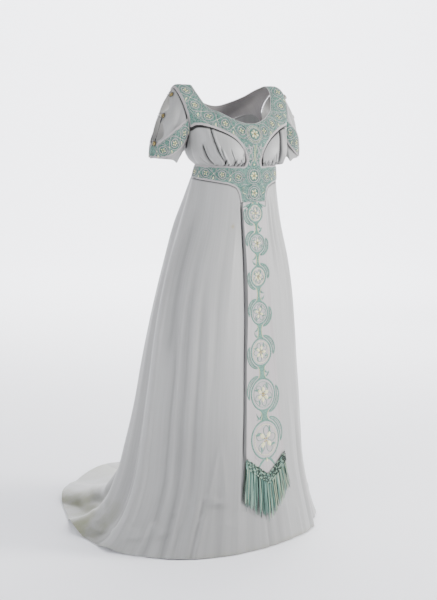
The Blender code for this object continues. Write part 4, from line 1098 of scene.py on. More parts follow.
class Stitching:
    """Collects strokes in flat metres, then lays them on a track as one mesh."""

    def __init__(self):
        self.points, self.quads, self.uv, self.threads, self.count = [], [], [], [], 0

    def strokes(self, paths, widths, heights, thread, closed=False):
        """Tubes of a low section along paths (strokes, points, 2), with widths and heights."""
        strokes, points = paths.shape[:2]
        widths = np.broadcast_to(widths, (strokes, points))
        heights = np.broadcast_to(heights, (strokes, points))
        if closed:
            direction = np.roll(paths, -1, 1) - np.roll(paths, 1, 1)
        else:
            direction = np.gradient(paths, axis=1)
        reach = widths[..., None] / 2 * SECTION[:, 0]
        flat = paths[:, :, None] + beside(unit(direction))[:, :, None] * reach[..., None]
        lift = heights[..., None] * SECTION[:, 1]
        every = np.concatenate((flat, lift[..., None]), -1).reshape(-1, 3)
        shape = (strokes, points, len(SECTION))
        index = self.count + np.arange(math.prod(shape)).reshape(shape)
        if closed:
            quads = [side_quads(index, np.roll(index, -1, 1))]
        else:
            quads = [side_quads(index[:, :-1], index[:, 1:])]
            quads += [index[:, 0][:, corners] for corners in START_CAP]
            quads += [index[:, -1][:, corners] for corners in END_CAP]
        quads = np.concatenate(quads)
        along = lengths_along(step_lengths(paths, 1))
        uv = np.stack(np.broadcast_arrays(along[..., None], SECTION[:, 0] * MM), -1).reshape(-1, 2)
        self.points.append(every)
        self.quads.append(quads)
        self.uv.append(uv)
        self.threads.append(np.full(len(quads), thread))
        self.count += len(every)

    def line(self, path, width, height, thread, closed=False):
        """One stroke along a path."""
        self.strokes(path[None], width, height, thread, closed)

    def ring(self, centre, radius, width, height, thread, points=26):
        """One closed stroke round a circle."""
        turn = np.linspace(0.0, 2 * math.pi, points, endpoint=False)
        self.line(centre + polar(turn) * radius, width, height, thread, closed=True)

    def blobs(self, centres, length, width, height, thread, turns):
        """Small domed ovals at centres, each turned by its angle."""
        part = np.linspace(-1.0, 1.0, 6)
        paths = centres[:, None] + polar(turns)[:, None] * (part * length / 2)[None, :, None]
        round_off = np.sqrt(np.maximum(1 - part**2, 0.03))
        self.strokes(paths, width * round_off, height * round_off, thread)

    def knot(self, place, length, width, height):
        """One cream oval on the track's middle line."""
        self.blobs(np.array(((place, 0.0),)), length, width, height, CREAM, np.zeros(1))

    def petal(self, start, heading, length, width):
        """A petal's outline in teal: two sines that meet at its foot and its tip."""
        part = np.linspace(0.0, 1.0, 9)
        ahead = polar(heading)
        line = start + np.outer(part * length, ahead)
        half = width / 2 * (np.sin(np.pi * part**1.3) ** 0.7)[:, None] * beside(ahead)
        self.line(rounded(line, half), 0.0018, LINE_LIFT, TEAL, closed=True)

    def leaf(self, start, heading, length, width, thread, bow=0.15):
        """A pointed leaf: its middle line bows, its half-width is a skewed sine."""
        part = np.linspace(0.0, 1.0, 9)
        ahead = polar(heading)
        line = start + np.outer(part * length, ahead)
        line += np.outer(np.sin(np.pi * part) * bow * length, beside(ahead))
        swell = np.sin(np.pi * part**0.8) ** 0.9
        self.line(line, np.maximum(width * swell, 0.0004), 0.0006 + 0.0004 * swell, thread)

    def flank(self, centre, radius, limit, first, last):
        """A leaf's outline round a ring's side: its radius swells between two angles."""
        part = np.linspace(0.0, 1.0, 19)
        around = polar(first + (last - first) * part)
        room = max(limit - radius - FLANK_CLEAR, FLANK_ROOM)
        middle = radius + FLANK_CLEAR + room * (0.5 + 0.25 * np.sin(np.pi * part))
        swell = 0.46 * room * np.sin(np.pi * part) ** 0.6
        line = centre + around * middle[:, None]
        self.line(rounded(line, around * swell[:, None]), 0.0044, COUCHED_LIFT, TEAL, closed=True)
        self.line(line[3:-6], 0.0020, 0.0008, TEAL)

    def flower(self, centre, radius, petals=6, turn=0.3):
        """Domed cream petals round a gold knot."""
        turns = turn + 2 * math.pi * np.arange(petals) / petals
        petal_line, knot_line = (centre + polar(turns) * radius * reach for reach in (0.64, 0.20))
        self.blobs(petal_line, radius * 0.66, radius * 0.50, PETAL_LIFT, CREAM, turns)
        self.blobs(knot_line, radius * 0.30, radius * 0.16, 0.0014, GOLD, turns)

    def waist(self, start, end, wide, narrow):
        """A stem on the middle line: wide at its ends, narrow between and edged with cream."""
        part = np.linspace(0.0, 1.0, 13)
        line = np.stack((start + part * (end - start), 0 * part), -1)
        width = narrow + (wide - narrow) * np.abs(2 * part - 1) ** 2.2
        self.line(line, width, LINE_LIFT, TEAL)
        aside = np.stack((0 * width, width / 2), -1)
        edges = np.stack([line + aside * sense for sense in SENSES])
        self.strokes(edges[:, 1:-1], 0.0018, RING_LIFT, CREAM)

    def curl(self, start, heading, size, sense, thread, width):
        """A scroll: a spiral whose radius shrinks as it turns."""
        part = np.linspace(0.0, 1.0, 16)
        turn = heading + sense * 4.4 * part**1.2
        step = size * (1 - 0.80 * part) * 0.20
        path = start + np.cumsum(polar(turn) * step[:, None], 0)
        self.line(path, width * (1 - 0.5 * part), LINE_LIFT, thread)

    def medallion(self, place, radius, petals=5, turn=0.3):
        """A pale ring with a dark line inside it, round a flower of separate petals."""
        centre = np.array((place, 0.0))
        self.ring(centre, radius, 0.0026, RING_LIFT, ROSE)
        self.ring(centre, radius * 0.80, 0.0010, LINE_LIFT, DEEP)
        self.flower(centre, radius * 0.70, petals, turn)

    def lay_on(self, name, track):
        """Carries every stroke to the track and makes them one piece."""
        points = laid(track, np.concatenate(self.points))
        quads = facing_out(points, np.concatenate(self.quads))
        finishes = [finish(title) for title in THREADS]
        threads = np.concatenate(self.threads)
        made = quad_mesh(name, points, quads, np.concatenate(self.uv), {}, finishes, threads)
        fasten(made)


def chain(work, length, half, radius, pitch, places=None):
    """Medallions along a band between two crossing waves, with leaves and scrolls beside them."""
    if places is None:
        count = max(int(round(length / pitch)), 1)
        places = (np.arange(count) + 0.5) * length / count
    step = places[1] - places[0]
    for number, place in enumerate(places):
        work.medallion(place, radius, 4 + number % 2, 0.3 + number)
    x = np.linspace(0.003, length - 0.003, int(length / 0.0022))
    wave = np.cos(math.pi * (x - places[0]) / step)
    for sense in SENSES:
        work.line(np.stack((x, sense * half * 0.78 * wave), -1), 0.0018, COUCHED_LIFT, ROSE)
    crossings = np.append(places - step / 2, places[-1] + step / 2)
    for middle in crossings[(crossings > 0.004) & (crossings < length - 0.004)]:
        for sense in SENSES:
            start = np.array((middle, sense * half * 0.34))
            shift = np.array((0.003, 0.0))
            work.leaf(start, sense * 1.2, half * 0.52, 0.0046, CREAM if sense > 0 else TEAL)
            work.leaf(start, math.pi - sense * 1.2, half * 0.50, 0.0042, TEAL)
            work.curl(start + shift, sense * 0.5, radius * 0.9, sense, ROSE, 0.0016)
            work.curl(start - shift, math.pi - sense * 0.5, radius * 0.8, -sense, ROSE, 0.0014)
        work.knot(middle, 0.0046, 0.0036, 0.0016)


def edge_line(work, track, length, inset):
    """A wavy couched line inside each margin."""
    x = np.linspace(0.002, length - 0.002, 60)
    half = np.interp(x, track["along"], track["half"])
    for sense in SENSES:
        y = sense * (half - inset + 0.0008 * np.sin(x * 420.0))
        work.line(np.stack((x, y), -1), 0.0012, LINE_LIFT, ROSE)


# Sizes and colours that a user would change

def length_property(name, description, default, **limits):
    """A length in metres."""
    return bpy.props.FloatProperty(
        name=name, description=description, default=default, unit="LENGTH", **limits
    )


def strength_property(name, description, default):
    """A factor on an effect: 0 leaves it out."""
    return bpy.props.FloatProperty(
        name=name, description=description, default=default, min=0.0, max=2.0
    )


def colour_property(name, description, default):
    """A colour in linear red, green and blue."""
    return bpy.props.FloatVectorProperty(
        name=name, description=description, subtype="COLOR", size=3, min=0.0, max=1.0, default=default
    )


class DressSizes(bpy.types.PropertyGroup):
    cloth: length_property("Cloth", "Thickness of the silk", 0.0009, min=0.0003)
    trim: length_property("Trim", "Thickness of the embroidered trims", 0.0018)
    margin: length_property("Margin", "Plain edge left round the embroidery", 0.0050)
    crease: strength_property("Creases", "How strongly the small creases show", 1.35)
    gather: strength_property("Gathers", "How strongly the bust cups are gathered", 1.0)
    medallion: length_property("Medallion", "Radius of a medallion on a band", 0.0125)
    strands: bpy.props.IntProperty(
        name="Strands", description="Strands in the fringe", default=190, min=20, max=250
    )


class DressColours(bpy.types.PropertyGroup):
    silk: colour_property("Silk", "Grey satin of the dress", (0.285, 0.286, 0.277))
    margin: colour_property("Margin", "Rose-grey cloth under the embroidery", (0.320, 0.302, 0.298))
    teal: colour_property("Teal", "Light teal thread", (0.094, 0.202, 0.160))
    deep_teal: colour_property("Deep teal", "Dark teal thread", (0.032, 0.092, 0.074))
    cream: colour_property("Cream", "Cream thread of the flowers", (0.580, 0.560, 0.330))
    gold: colour_property("Gold", "Gold thread of the knots", (0.300, 0.240, 0.080))
    olive: colour_property("Olive", "Dark knots over the fringe", (0.030, 0.038, 0.020))
    gilt: colour_property("Gilt", "Metal of the buttons", (0.340, 0.275, 0.125))
    cord: colour_property("Cord", "Black cord of the loops", (0.006, 0.006, 0.006))
    soil: colour_property("Soil", "Yellow-green soiling of the train", (0.190, 0.195, 0.115))
    spot: colour_property("Spot", "Brown spot on the front", (0.240, 0.200, 0.090))
    floor: colour_property("Floor", "Studio floor and backdrop", (0.955, 0.958, 0.990))


def soil_of(angle, fall):
    """Soiling on the train's right side, strongest low down, and a trace along the hem."""
    round_train = ease((np.abs(angle + 140.0) - 46.0) / -30.0)
    low = ease((fall - 0.84) / 0.12)
    back = 0.55 * ease((np.abs(np.abs(angle) - 168.0) - 34.0) / -22.0)
    hem = 0.35 * ease((fall - 0.985) / 0.015)
    return np.clip(np.maximum(round_train, back) * low + hem, 0.0, 1.0)


def hem_shade_of(angle, fall):
    """Painted shade: the skirt darkens towards the hem, less on the left front and on all of the right
    side.
    """
    left = 0.6 * ease(angle / 30.0) * (angle < 100.0)
    right = 0.58 * ease((-52.0 - angle) / 24.0)
    return 0.29 * ease((fall - 0.40) / 0.5) * (1 - left - right)


def spot_of(angle, fall):
    """A small oval stain: a bell curve in both directions."""
    return np.exp(-(((angle + 35.0) / 1.9) ** 2) - ((fall - 0.155) / 0.005) ** 2)


def beside_panel(points):
    """The skirt's dip along the panel's right edge, and the painted shadow in and beside that dip."""
    height = points[..., 2] + SHOULDER_HEIGHT
    out = -points[..., 0] - panel_half_width(height)
    front = (points[..., 1] < 0) * ease((1.035 - height) / 0.03) * ease((height - 0.24) / 0.08)
    dip = np.exp(-(((out - 0.0025) / 0.0046) ** 2)) * front
    soft = np.exp(-np.abs((out - 0.002) / 0.012) ** 1.5) * front
    dark = 0.62 + 0.30 * ease((height - 0.78) / 0.15)
    return PANEL_GROOVE * dip, np.maximum(dark * dip, 0.35 * soft)


def spaced(low, high, count, power=1.0):
    """Values from one end to the other, packed towards the first where the power is over 1."""
    return low + (high - low) * np.linspace(0.0, 1.0, count) ** power


class DRESS_OT_skirt(bpy.types.Operator):
    """Build the skirt: a front from side seam to side seam, and two backs with the train"""

    bl_idname = "dress.skirt"
    bl_label = "Skirt"

    def execute(self, context):
        # The front's finest columns lie along the panel's right edge, where the skirt dips
        right, middle = spaced(-SIDE_SEAM, -31.0, 56), spaced(-31.0, -9.0, 64)[1:-1]
        front = np.concatenate((right, middle, spaced(-9.0, SIDE_SEAM, 74)))
        back = spaced(SIDE_SEAM, BACK, 100)
        self.gore("skirt_front", front, flat=(0.98, 1.12), area=0.72)
        self.gore("skirt_back_right", -back[::-1], flat=(0.86, 1.46), area=0.715)
        self.gore("skirt_back_left", back, flat=(0.86, 1.46), area=0.695)
        return {"FINISHED"}

    def gore(self, name, angles, flat, area):
        """The creased skirt between two seams: its edges tuck in, its top lies under the band."""
        crease = bpy.context.scene.dress_sizes.crease
        angle = angles[None, :]
        edge = band_fall(angle)
        top = edge - UNDER_BAND
        part = np.concatenate((spaced(0.0, 0.013, 10), spaced(0.013, 1.0, 140)[1:]))
        fall = top + (1 - top) * part[:, None]
        points = creased_skirt(angle, fall, crease)
        groove, shadow = beside_panel(points)
        like = outward(skirt_plain, angle, fall, -1.0)
        at_seam = np.isin(angles, angles[[0, -1]])
        under = BAND_TUCK * ease((edge + 0.003 - fall) / 0.004)
        points = points - like * (SEAM_TUCK * at_seam + under + groove)[..., None]
        # Painted shade: a shadow line under the waistband's edge, the panel's shadow, shade in the
        # troughs of creases and folds, and shade towards the hem
        slope = np.gradient(edge[0], angles) / DEGREE_AT_WAIST
        line = np.exp(-(((fall - edge - 0.0010) / (BAND_SHADOW * np.sqrt(1 + slope**2))) ** 2))
        small = (creases(CREASES, angle, fall) + cross_creases(angle, fall)) * crease
        trough_shade = 0.26 * np.clip(-small / 0.0050, 0.0, 1.0)
        trough_shade = trough_shade + 0.14 * np.clip(-fold_height(angle, fall) / 0.012, 0.0, 1.0)
        hollow = np.maximum(np.maximum(shadow, 0.9 * line), hem_shade_of(angle, fall) + trough_shade)
        values = {"soil": soil_of(angle, fall), "spot": spot_of(angle, fall), "hollow": hollow}
        silk_piece(name, points, like, values)


def arch_rise(angle):
    """The cups' upper edge: the arch as far as the armhole, then the armhole."""
    turns = np.arange(YOKE_TURN, 181.0, 10.0)
    edge = np.vstack((ARCH, np.stack(armhole(turns), -1)))
    return spline(edge[:, 0], edge[:, 1], angle)


def back_edge(first_turn, hole_count, arch_count):
    """Angle and rise from a turn of the armhole to the back yoke's edge, and along that edge."""
    hole = np.stack(armhole(spaced(first_turn, 360.0 - YOKE_TURN, hole_count)), -1)
    arch = np.vstack((hole[-1:], BACK_ARCH))
    angles = spaced(hole[-1, 0], BACK, arch_count)[1:]
    rises = spline(arch[:, 0], arch[:, 1], angles)
    return np.vstack((hole, np.stack((angles, rises), -1))), arch


def cup_folds(table, place, up):
    """Each gather is a bell curve round a bowed line that fades at its upper end."""
    total = np.zeros(np.broadcast(place, up).shape)
    for place_start, up_start, place_end, up_end, bow, half, height in table:
        beyond = (up_start - up) / (up_start - up_end)
        part = np.clip(beyond, 0.0, 1.0)
        centre = place_start + (place_end - place_start) * part + bow * 4 * part * (1 - part)
        strength = ease(beyond / 0.22) if up_start < 0.95 else ease((beyond + 0.10) / 0.2)
        wide = half * (0.7 + 0.9 * part)
        total += height * MM * strength * np.exp(-np.abs((place - centre) / wide) ** 1.8)
    return total


def cup_puckers(place, level):
    """Small gathers above the waist: a sine across the cup whose own place sways."""
    ripple = np.sin(place * 84.0 + 9.0 * level + 2.0 * np.sin(place * 17.0))
    reach = 0.31 + 0.13 * np.sin(place * 31.0)
    return PUCKER * ripple * ease((reach - level) / 0.20) * ease((0.68 - place) / 0.1)


class DRESS_OT_bodice(bpy.types.Operator):
    """Build the gathered bust cups and the plain backs"""

    bl_idname = "dress.bodice"
    bl_label = "Bodice"

    def execute(self, context):
        gather = context.scene.dress_sizes.gather
        self.cup("right", -1.0, RIGHT_CUP_FOLDS, gather, 0.15, 0.0092)
        self.back("right", -1.0)
        self.cup("left", 1.0, LEFT_CUP_FOLDS, gather, 0.22, 0.0078)
        self.back("left", 1.0)
        return {"FINISHED"}

    def cup(self, side, sign, table, gather, inner_width, rim_shadow):
        """The bodice puffed out by two sines, with gathers, puckers and an edge that tucks in.

        inner_width is how fast the rim widens from the plastron, and rim_shadow how wide its
        shadow is: each cup has its own.
        """
        columns = spaced(ARCH[0, 0], ARMHOLE_ANGLE, 190)[None, :]
        start = columns[0, 0]
        up = spaced(0.0, 1.025, 96)[:, None]
        level = np.clip(up, 0.0, 1.0)
        arch = arch_rise(columns)
        rise = arch * level + np.maximum(up - 1.0, 0.0) * 0.9
        near = np.clip(1 - (columns - start) / CUP_LEAN_ANGLE, 0.0, 1.0)
        angle = columns + near * (plastron_side(rise) - start)
        place = (columns - start) / (CUP_END_ANGLE - start)
        round_place = np.sin(np.pi * np.clip(place, 0, 1)) ** 0.7
        puff = CUP_PUFF * round_place * np.sin(np.pi * level**0.8)
        inside = ease(level / 0.06) * ease((1 - level) / 0.05)
        gathers = cup_folds(table, place, level) * gather * (0.35 + 0.65 * inside)
        puckers = cup_puckers(place, level)
        rim = np.minimum((1 - up) * arch * 0.22, place * inner_width - 0.0022)
        rim = np.where(place > 1.14, 0.02, rim)
        tuck = RIM_TUCK * ease((RIM_WIDTH - rim) / RIM_WIDTH) + BAND_TUCK * ease((0.014 - up) / 0.014)
        like = outward(bodice, sign * angle, np.minimum(rise, NECK_RISE))
        out = puff + gathers + puckers - tuck
        points = bodice(sign * angle, rise) + like * out[..., None]
        # Painted shade: dark in the troughs of the gathers and puckers and along the rim under the yoke,
        # a light shade over the whole cup, and more just above the waistband
        deep = np.clip(-(gathers + 2.8 * puckers) / 0.0064, 0.0, 1.0) ** 1.4
        hollow = np.maximum(0.92 * deep, ease((rim_shadow - rim) / 0.0032))
        values = {"hollow": np.maximum(hollow, 0.10 + 0.5 * ease((0.03 - up) / 0.025))}
        name, flat = f"bodice_cup_{side}", (0.26, 0.17)
        silk_piece(name, points, like, values)

    def back(self, side, sign):
        """The bodice from the waist to the armhole and the yoke, with soft waves and gathers."""
        edge, _ = back_edge(UNDERARM_TURN, 40, 70)
        up = spaced(0.0, 1.0, 60)[:, None]
        angle = np.broadcast_to(edge[None, :, 0], (len(up), len(edge)))
        rise = edge[None, :, 1] * up
        like = outward(bodice, sign * angle, rise)
        waves = 0.0008 * np.sin(angle * 0.55 + 3.0 * up) * np.sin(np.pi * up)
        fading = ease((0.5 - up) / 0.5) * ease(up / 0.03) * ease((angle - 125.0) / 15.0)
        gathers = 0.0012 * np.sin(angle * 1.9) * fading
        tuck = 0.0014 * ease((up - 0.985) / 0.015)
        points = bodice(sign * angle, rise) + like * (waves + gathers - tuck)[..., None]
        silk_piece(f"bodice_back_{side}", points, like, {})


def trim_lift(edge, thick):
    """A trim's face: it rolls over at its edges and swells a little between them."""
    return TRIM_RAISE - thick * 0.35 * np.exp(-edge / 0.0022)


def margin_edge(from_neck, from_arch):
    """Distance from the edge, as if both margins were alike: they are narrow at the neck."""
    return np.minimum(from_neck + 0.0032, from_arch - 0.0022)


def rim_distance(points, rim):
    """Distance of each point from the nearest of the rim's points."""
    flat = points.reshape(-1, 3)
    nearest = np.full(len(flat), 1.0)
    for start in range(0, len(rim), 60):
        part = rim[start : start + 60]
        gaps = np.linalg.norm(flat[:, None] - part[None], axis=-1)
        nearest = np.minimum(nearest, gaps.min(1))
    return nearest.reshape(points.shape[:-1])


def yoke_strip():
    """Angle and rise on the front yoke's half, from the shoulder to the plastron."""
    turns = spaced(0.0, YOKE_TURN, 60)
    hole = np.stack(armhole(turns), -1)
    angles = spaced(ARCH[0, 0], hole[-1, 0], 110, 1.25)[::-1][1:]
    outer = np.vstack((hole, np.stack((angles, arch_rise(angles)), -1)))
    stations = -np.concatenate(((hole[-1, 0],), ARCH[::-1, 0]))
    along_arch = 5.0 + np.interp(-angles, stations, np.arange(len(stations)))
    index = np.concatenate((turns / 20.0, along_arch))
    neck = NECK_SHOULDER - (NECK_SHOULDER - NECK_FRONT) * index / (5.0 + len(ARCH))
    part = np.linspace(0.0, 1.0, 26)[:, None]
    return neck + (outer[:, 0] - neck) * part, 1.0 + (outer[:, 1] - 1.0) * part


class DRESS_OT_yoke(bpy.types.Operator):
    """Build the embroidered yoke: the front with its plastron, and two backs"""

    bl_idname = "dress.yoke"
    bl_label = "Yoke"

    def execute(self, context):
        self.sizes = context.scene.dress_sizes
        self.front()
        for side, sign in SIDES:
            self.back(side, sign)
            # A line over the arch, which the front chain keeps above
            line = np.array((
                (9.0, 0.62), (22.0, 0.64), (36.0, 0.705), (50.0, 0.775), (64.0, 0.765),
                (75.0, 0.72), (82.0, 0.715), (88.0, 0.735), (99.0, 0.76),
            ))
            angles = spaced(99.0, 9.0, 90)
            low = np.interp(angles, line[:, 0], line[:, 1])
            self.work(f"yoke_front_embroidery_{side}", sign * angles, low)
        self.plastron_work()
        return {"FINISHED"}

    def front(self):
        """Two mirrored strips joined over the breast, then the plastron's rows down to the waist."""
        angle, rise = yoke_strip()
        rows, half_columns = angle.shape
        middle = np.linspace(-1.0, 1.0, 25)
        band_angle = np.hstack((-angle, angle[:, -1:] * middle[1:-1], angle[:, ::-1]))
        band_rise = np.hstack((rise, np.repeat(rise[:, -1:], len(middle) - 2, 1), rise[:, ::-1]))
        columns = band_angle.shape[1]
        low = spaced(PLASTRON_SIDE[-1, 0], 0.0, 24)[1:, None]
        tail_angle = plastron_side(low) * middle
        grid = np.arange(rows * columns).reshape(rows, columns)
        tail = rows * columns + np.arange(tail_angle.size).reshape(-1, 25)
        tail = np.vstack((grid[-1, half_columns - 1 : half_columns + 24], tail))
        tail_faces = np.stack((tail[:-1, :-1], tail[:-1, 1:], tail[1:, 1:], tail[1:, :-1]), -1)
        faces = np.vstack((grid_faces(rows, columns), tail_faces.reshape(-1, 4)))
        all_angle = np.concatenate((band_angle.ravel(), tail_angle.ravel()))
        all_rise = np.concatenate((band_rise.ravel(), np.repeat(low, 25, 1).ravel()))
        arch = (grid[-1, :half_columns], grid[-1, -half_columns:], tail[1:, 0], tail[1:, -1])
        plain = bodice(all_angle, all_rise)
        from_neck = rim_distance(plain, plain[grid[0]])
        from_arch = rim_distance(plain, plain[np.concatenate(arch)])
        points, normals = self.lifted(plain, all_angle, all_rise, from_neck, from_arch)
        uv = np.stack((all_angle * 0.0022, all_rise * 0.2), -1)
        values = {"edge": margin_edge(from_neck, from_arch)}
        name, thick = "yoke_front", self.sizes.trim
        piece = shell(f"{name}_cloth", points, normals, faces, thick, uv, values, *trim_finishes())
        settle(piece, name)

    def lifted(self, plain, angle, rise, from_neck, from_arch):
        """Points of the bodice raised to a trim's face."""
        normals = outward(bodice, angle, np.minimum(rise, NECK_RISE))
        lift = trim_lift(np.minimum(from_neck, from_arch), self.sizes.trim)
        return plain + normals * lift[..., None], normals

    def back(self, side, sign):
        """Straight lines over the bodice, from the neckline to the armhole and the lower edge."""
        outer, arch = back_edge(360.0, 60, 110)
        neck = np.linspace(NECK_SHOULDER, BACK, len(outer))
        part = np.linspace(0.0, 1.0, 34)[:, None]
        angle = sign * (neck + (outer[:, 0] - neck) * part)
        rise = 1.0 + (outer[:, 1] - 1.0) * part
        plain = bodice(angle, rise)
        from_neck, from_arch = (rim_distance(plain, plain[row]) for row in (0, -1))
        points, normals = self.lifted(plain, angle, rise, from_neck, from_arch)
        name, thick = f"yoke_back_{side}", self.sizes.trim
        edge = margin_edge(from_neck, from_arch)
        trim_piece(name, points, normals, thick, edge)
        angles = spaced(99.0, 179.5, 60)
        lower = spline(arch[:, 0], arch[:, 1], np.clip(angles, arch[0, 0], None))
        shoulder = 0.76 + (0.62 - 0.76) * ease((angles - 100.0) / 18.0)
        low = np.where(angles < 118.0, shoulder, lower)
        self.work(f"{name}_embroidery", sign * angles, low)

    def work(self, name, angles, low):
        """A chain and its edge lines, between the neckline and a lower line."""
        part = np.linspace(0.0, 1.0, 13)[None, :]
        rise = 1.0 + (low[:, None] - 1.0) * part
        angle = np.broadcast_to(angles[:, None], rise.shape)
        normals = outward(bodice, angle, np.minimum(rise, NECK_RISE))
        track = track_of(bodice(angle, rise) + normals * TRIM_RAISE, normals)
        work = Stitching()
        length = track["along"][-1]
        chain(work, length, track["half"].mean(), self.sizes.medallion, 0.052)
        edge_line(work, track, length, self.sizes.margin + MM)
        work.lay_on(name, track)

    def plastron_work(self):
        """A large medallion at the breast, then a stem with leaf pairs down to the waist."""
        rise = spaced(0.96, 0.0, 60)[:, None]
        width = np.interp(rise, (0.0, 0.22, 0.5, 0.7, 1.0), (0.031, 0.027, 0.036, 0.050, 0.050))
        radius = np.linalg.norm(bodice(0.0, rise)[..., :2], axis=-1)
        angle = np.degrees(width / radius) * np.linspace(-1.0, 1.0, 17)[None, :]
        normals = outward(bodice, angle, np.minimum(rise, NECK_RISE))
        track = track_of(bodice(angle, rise) + normals * TRIM_RAISE, normals)
        work = Stitching()
        middle = np.interp(0.235, 1 - rise[:, 0], track["along"])
        end = track["along"][-1]
        work.medallion(middle, 0.0205, 6, 0.1)
        centre = np.array((middle, 0.0))
        work.ring(centre, 0.0285, 0.0024, RING_LIFT, ROSE, 34)
        work.ring(centre, 0.0245, 0.0012, LINE_LIFT, CREAM, 34)
        for sense in SENSES:
            for place, thread in ((0.034, DEEP), (0.050, TEAL), (0.068, DEEP)):
                start = np.array((middle + place, sense * 0.003))
                work.leaf(start, sense * 0.85, 0.020, 0.0052, thread)
                outer, inner = start + (0.004, sense * 0.007), start + (0.010, sense * 0.004)
                work.curl(outer, sense * 0.9, 0.026, sense, ROSE, 0.0026)
                work.curl(inner, sense * 2.2, 0.020, -sense, ROSE, 0.0022)
            start = np.array((middle - 0.020, sense * 0.022))
            work.leaf(start, math.pi - sense * 1.1, 0.016, 0.0046, DEEP)
        line = np.linspace(middle + 0.031, end - 0.004, 26)
        for sense in SENSES:
            for aside, swing in ((0.010, 0.0030), (0.020, -0.0034)):
                bend = sense * (aside + swing * np.sin((line - middle) * 150.0))
                work.line(np.stack((line, bend), -1), 0.0034, COUCHED_LIFT, ROSE)
        work.waist(middle + 0.029, end - 0.012, 0.011, 0.0035)
        work.knot(end - 0.007, 0.006, 0.006, PETAL_LIFT)
        work.lay_on("plastron_embroidery", track)


class DRESS_OT_waistband(bpy.types.Operator):
    """Build the embroidered waistband that dips to the hanging panel"""

    bl_idname = "dress.waistband"
    bl_label = "Waistband"

    def execute(self, context):
        sizes = context.scene.dress_sizes
        end = BACK - 0.1
        right, front = spaced(-end, -50.0, 110), spaced(-50.0, 50.0, 130)[1:-1]
        angle = np.concatenate((right, front, spaced(50.0, end, 110)))[None, :]
        fall = band_fall(angle) * np.linspace(0.0, 1.0, 30)[:, None]
        plain = skirt_plain(angle, fall)
        normals = outward(skirt_plain, angle, fall, -1.0)
        round_band = np.abs(angle[0])
        upper = plain[0][round_band > PLASTRON_SIDE[0, 1]]
        edge = rim_distance(plain, np.vstack((plain[-1][round_band > 24.4], upper)))
        points = plain + normals * trim_lift(edge, sizes.trim)[..., None]
        tongue = 0.7 * (plain[..., 2] + SHOULDER_HEIGHT - BAND_EDGE[0, 1]) + 0.004
        edge = np.minimum(edge, np.where(round_band < 34.0, tongue, 1.0))
        trim_piece("waistband", points, normals, sizes.trim, edge)
        for side, sign in SIDES:
            self.side_work(side, sign, sizes.medallion * 0.84)
        self.tongue_work()
        return {"FINISHED"}

    def side_work(self, side, sign, radius):
        """A chain from the tongue to the centre back."""
        angles = sign * spaced(16.0, 179.0, 120)[:, None]
        falls = band_fall(np.maximum(np.abs(angles), 33.0)) * np.linspace(0.03, 0.97, 9)
        track = self.track(angles, falls)
        work = Stitching()
        chain(work, track["along"][-1], track["half"].mean(), radius, 0.047)
        work.lay_on(f"waistband_embroidery_{side}", track)

    def tongue_work(self):
        """Two medallions one above the other, with leaves and scrolls beside them."""
        heights = spaced(1.128, 1.033, 50)[:, None]
        place = np.linspace(-1.0, 1.0, 17)[None, :] * 0.040
        angles = on_skirt_front(place, 1 - heights / BODICE[0, 2])
        track = self.track(angles, fall_at(angles, heights))
        work = Stitching()
        work.medallion(0.021, 0.0180, 6, 0.5)
        work.medallion(0.072, 0.0165, 5, 0.2)
        for place, radius in ((0.021, 0.0245), (0.072, 0.0225)):
            work.ring(np.array((place, 0.0)), radius, 0.0020, COUCHED_LIFT, ROSE, 34)
        for sense in SENSES:
            for row in TONGUE_SPRIGS:
                kind, along, aside, lean, size, thread, width = row
                start = np.array((along, sense * aside))
                if kind == "leaf":
                    work.leaf(start, sense * lean, size, width, thread)
                else:
                    work.curl(start, sense * lean, size, sense, thread, width)
        work.lay_on("waistband_embroidery_front", track)

    def track(self, angles, falls):
        """A strip of the plain skirt, raised to the band's face."""
        angles, falls = np.broadcast_arrays(angles, falls)
        normals = outward(skirt_plain, angles, falls, -1.0)
        return track_of(skirt_plain(angles, falls) + normals * TRIM_RAISE, normals)


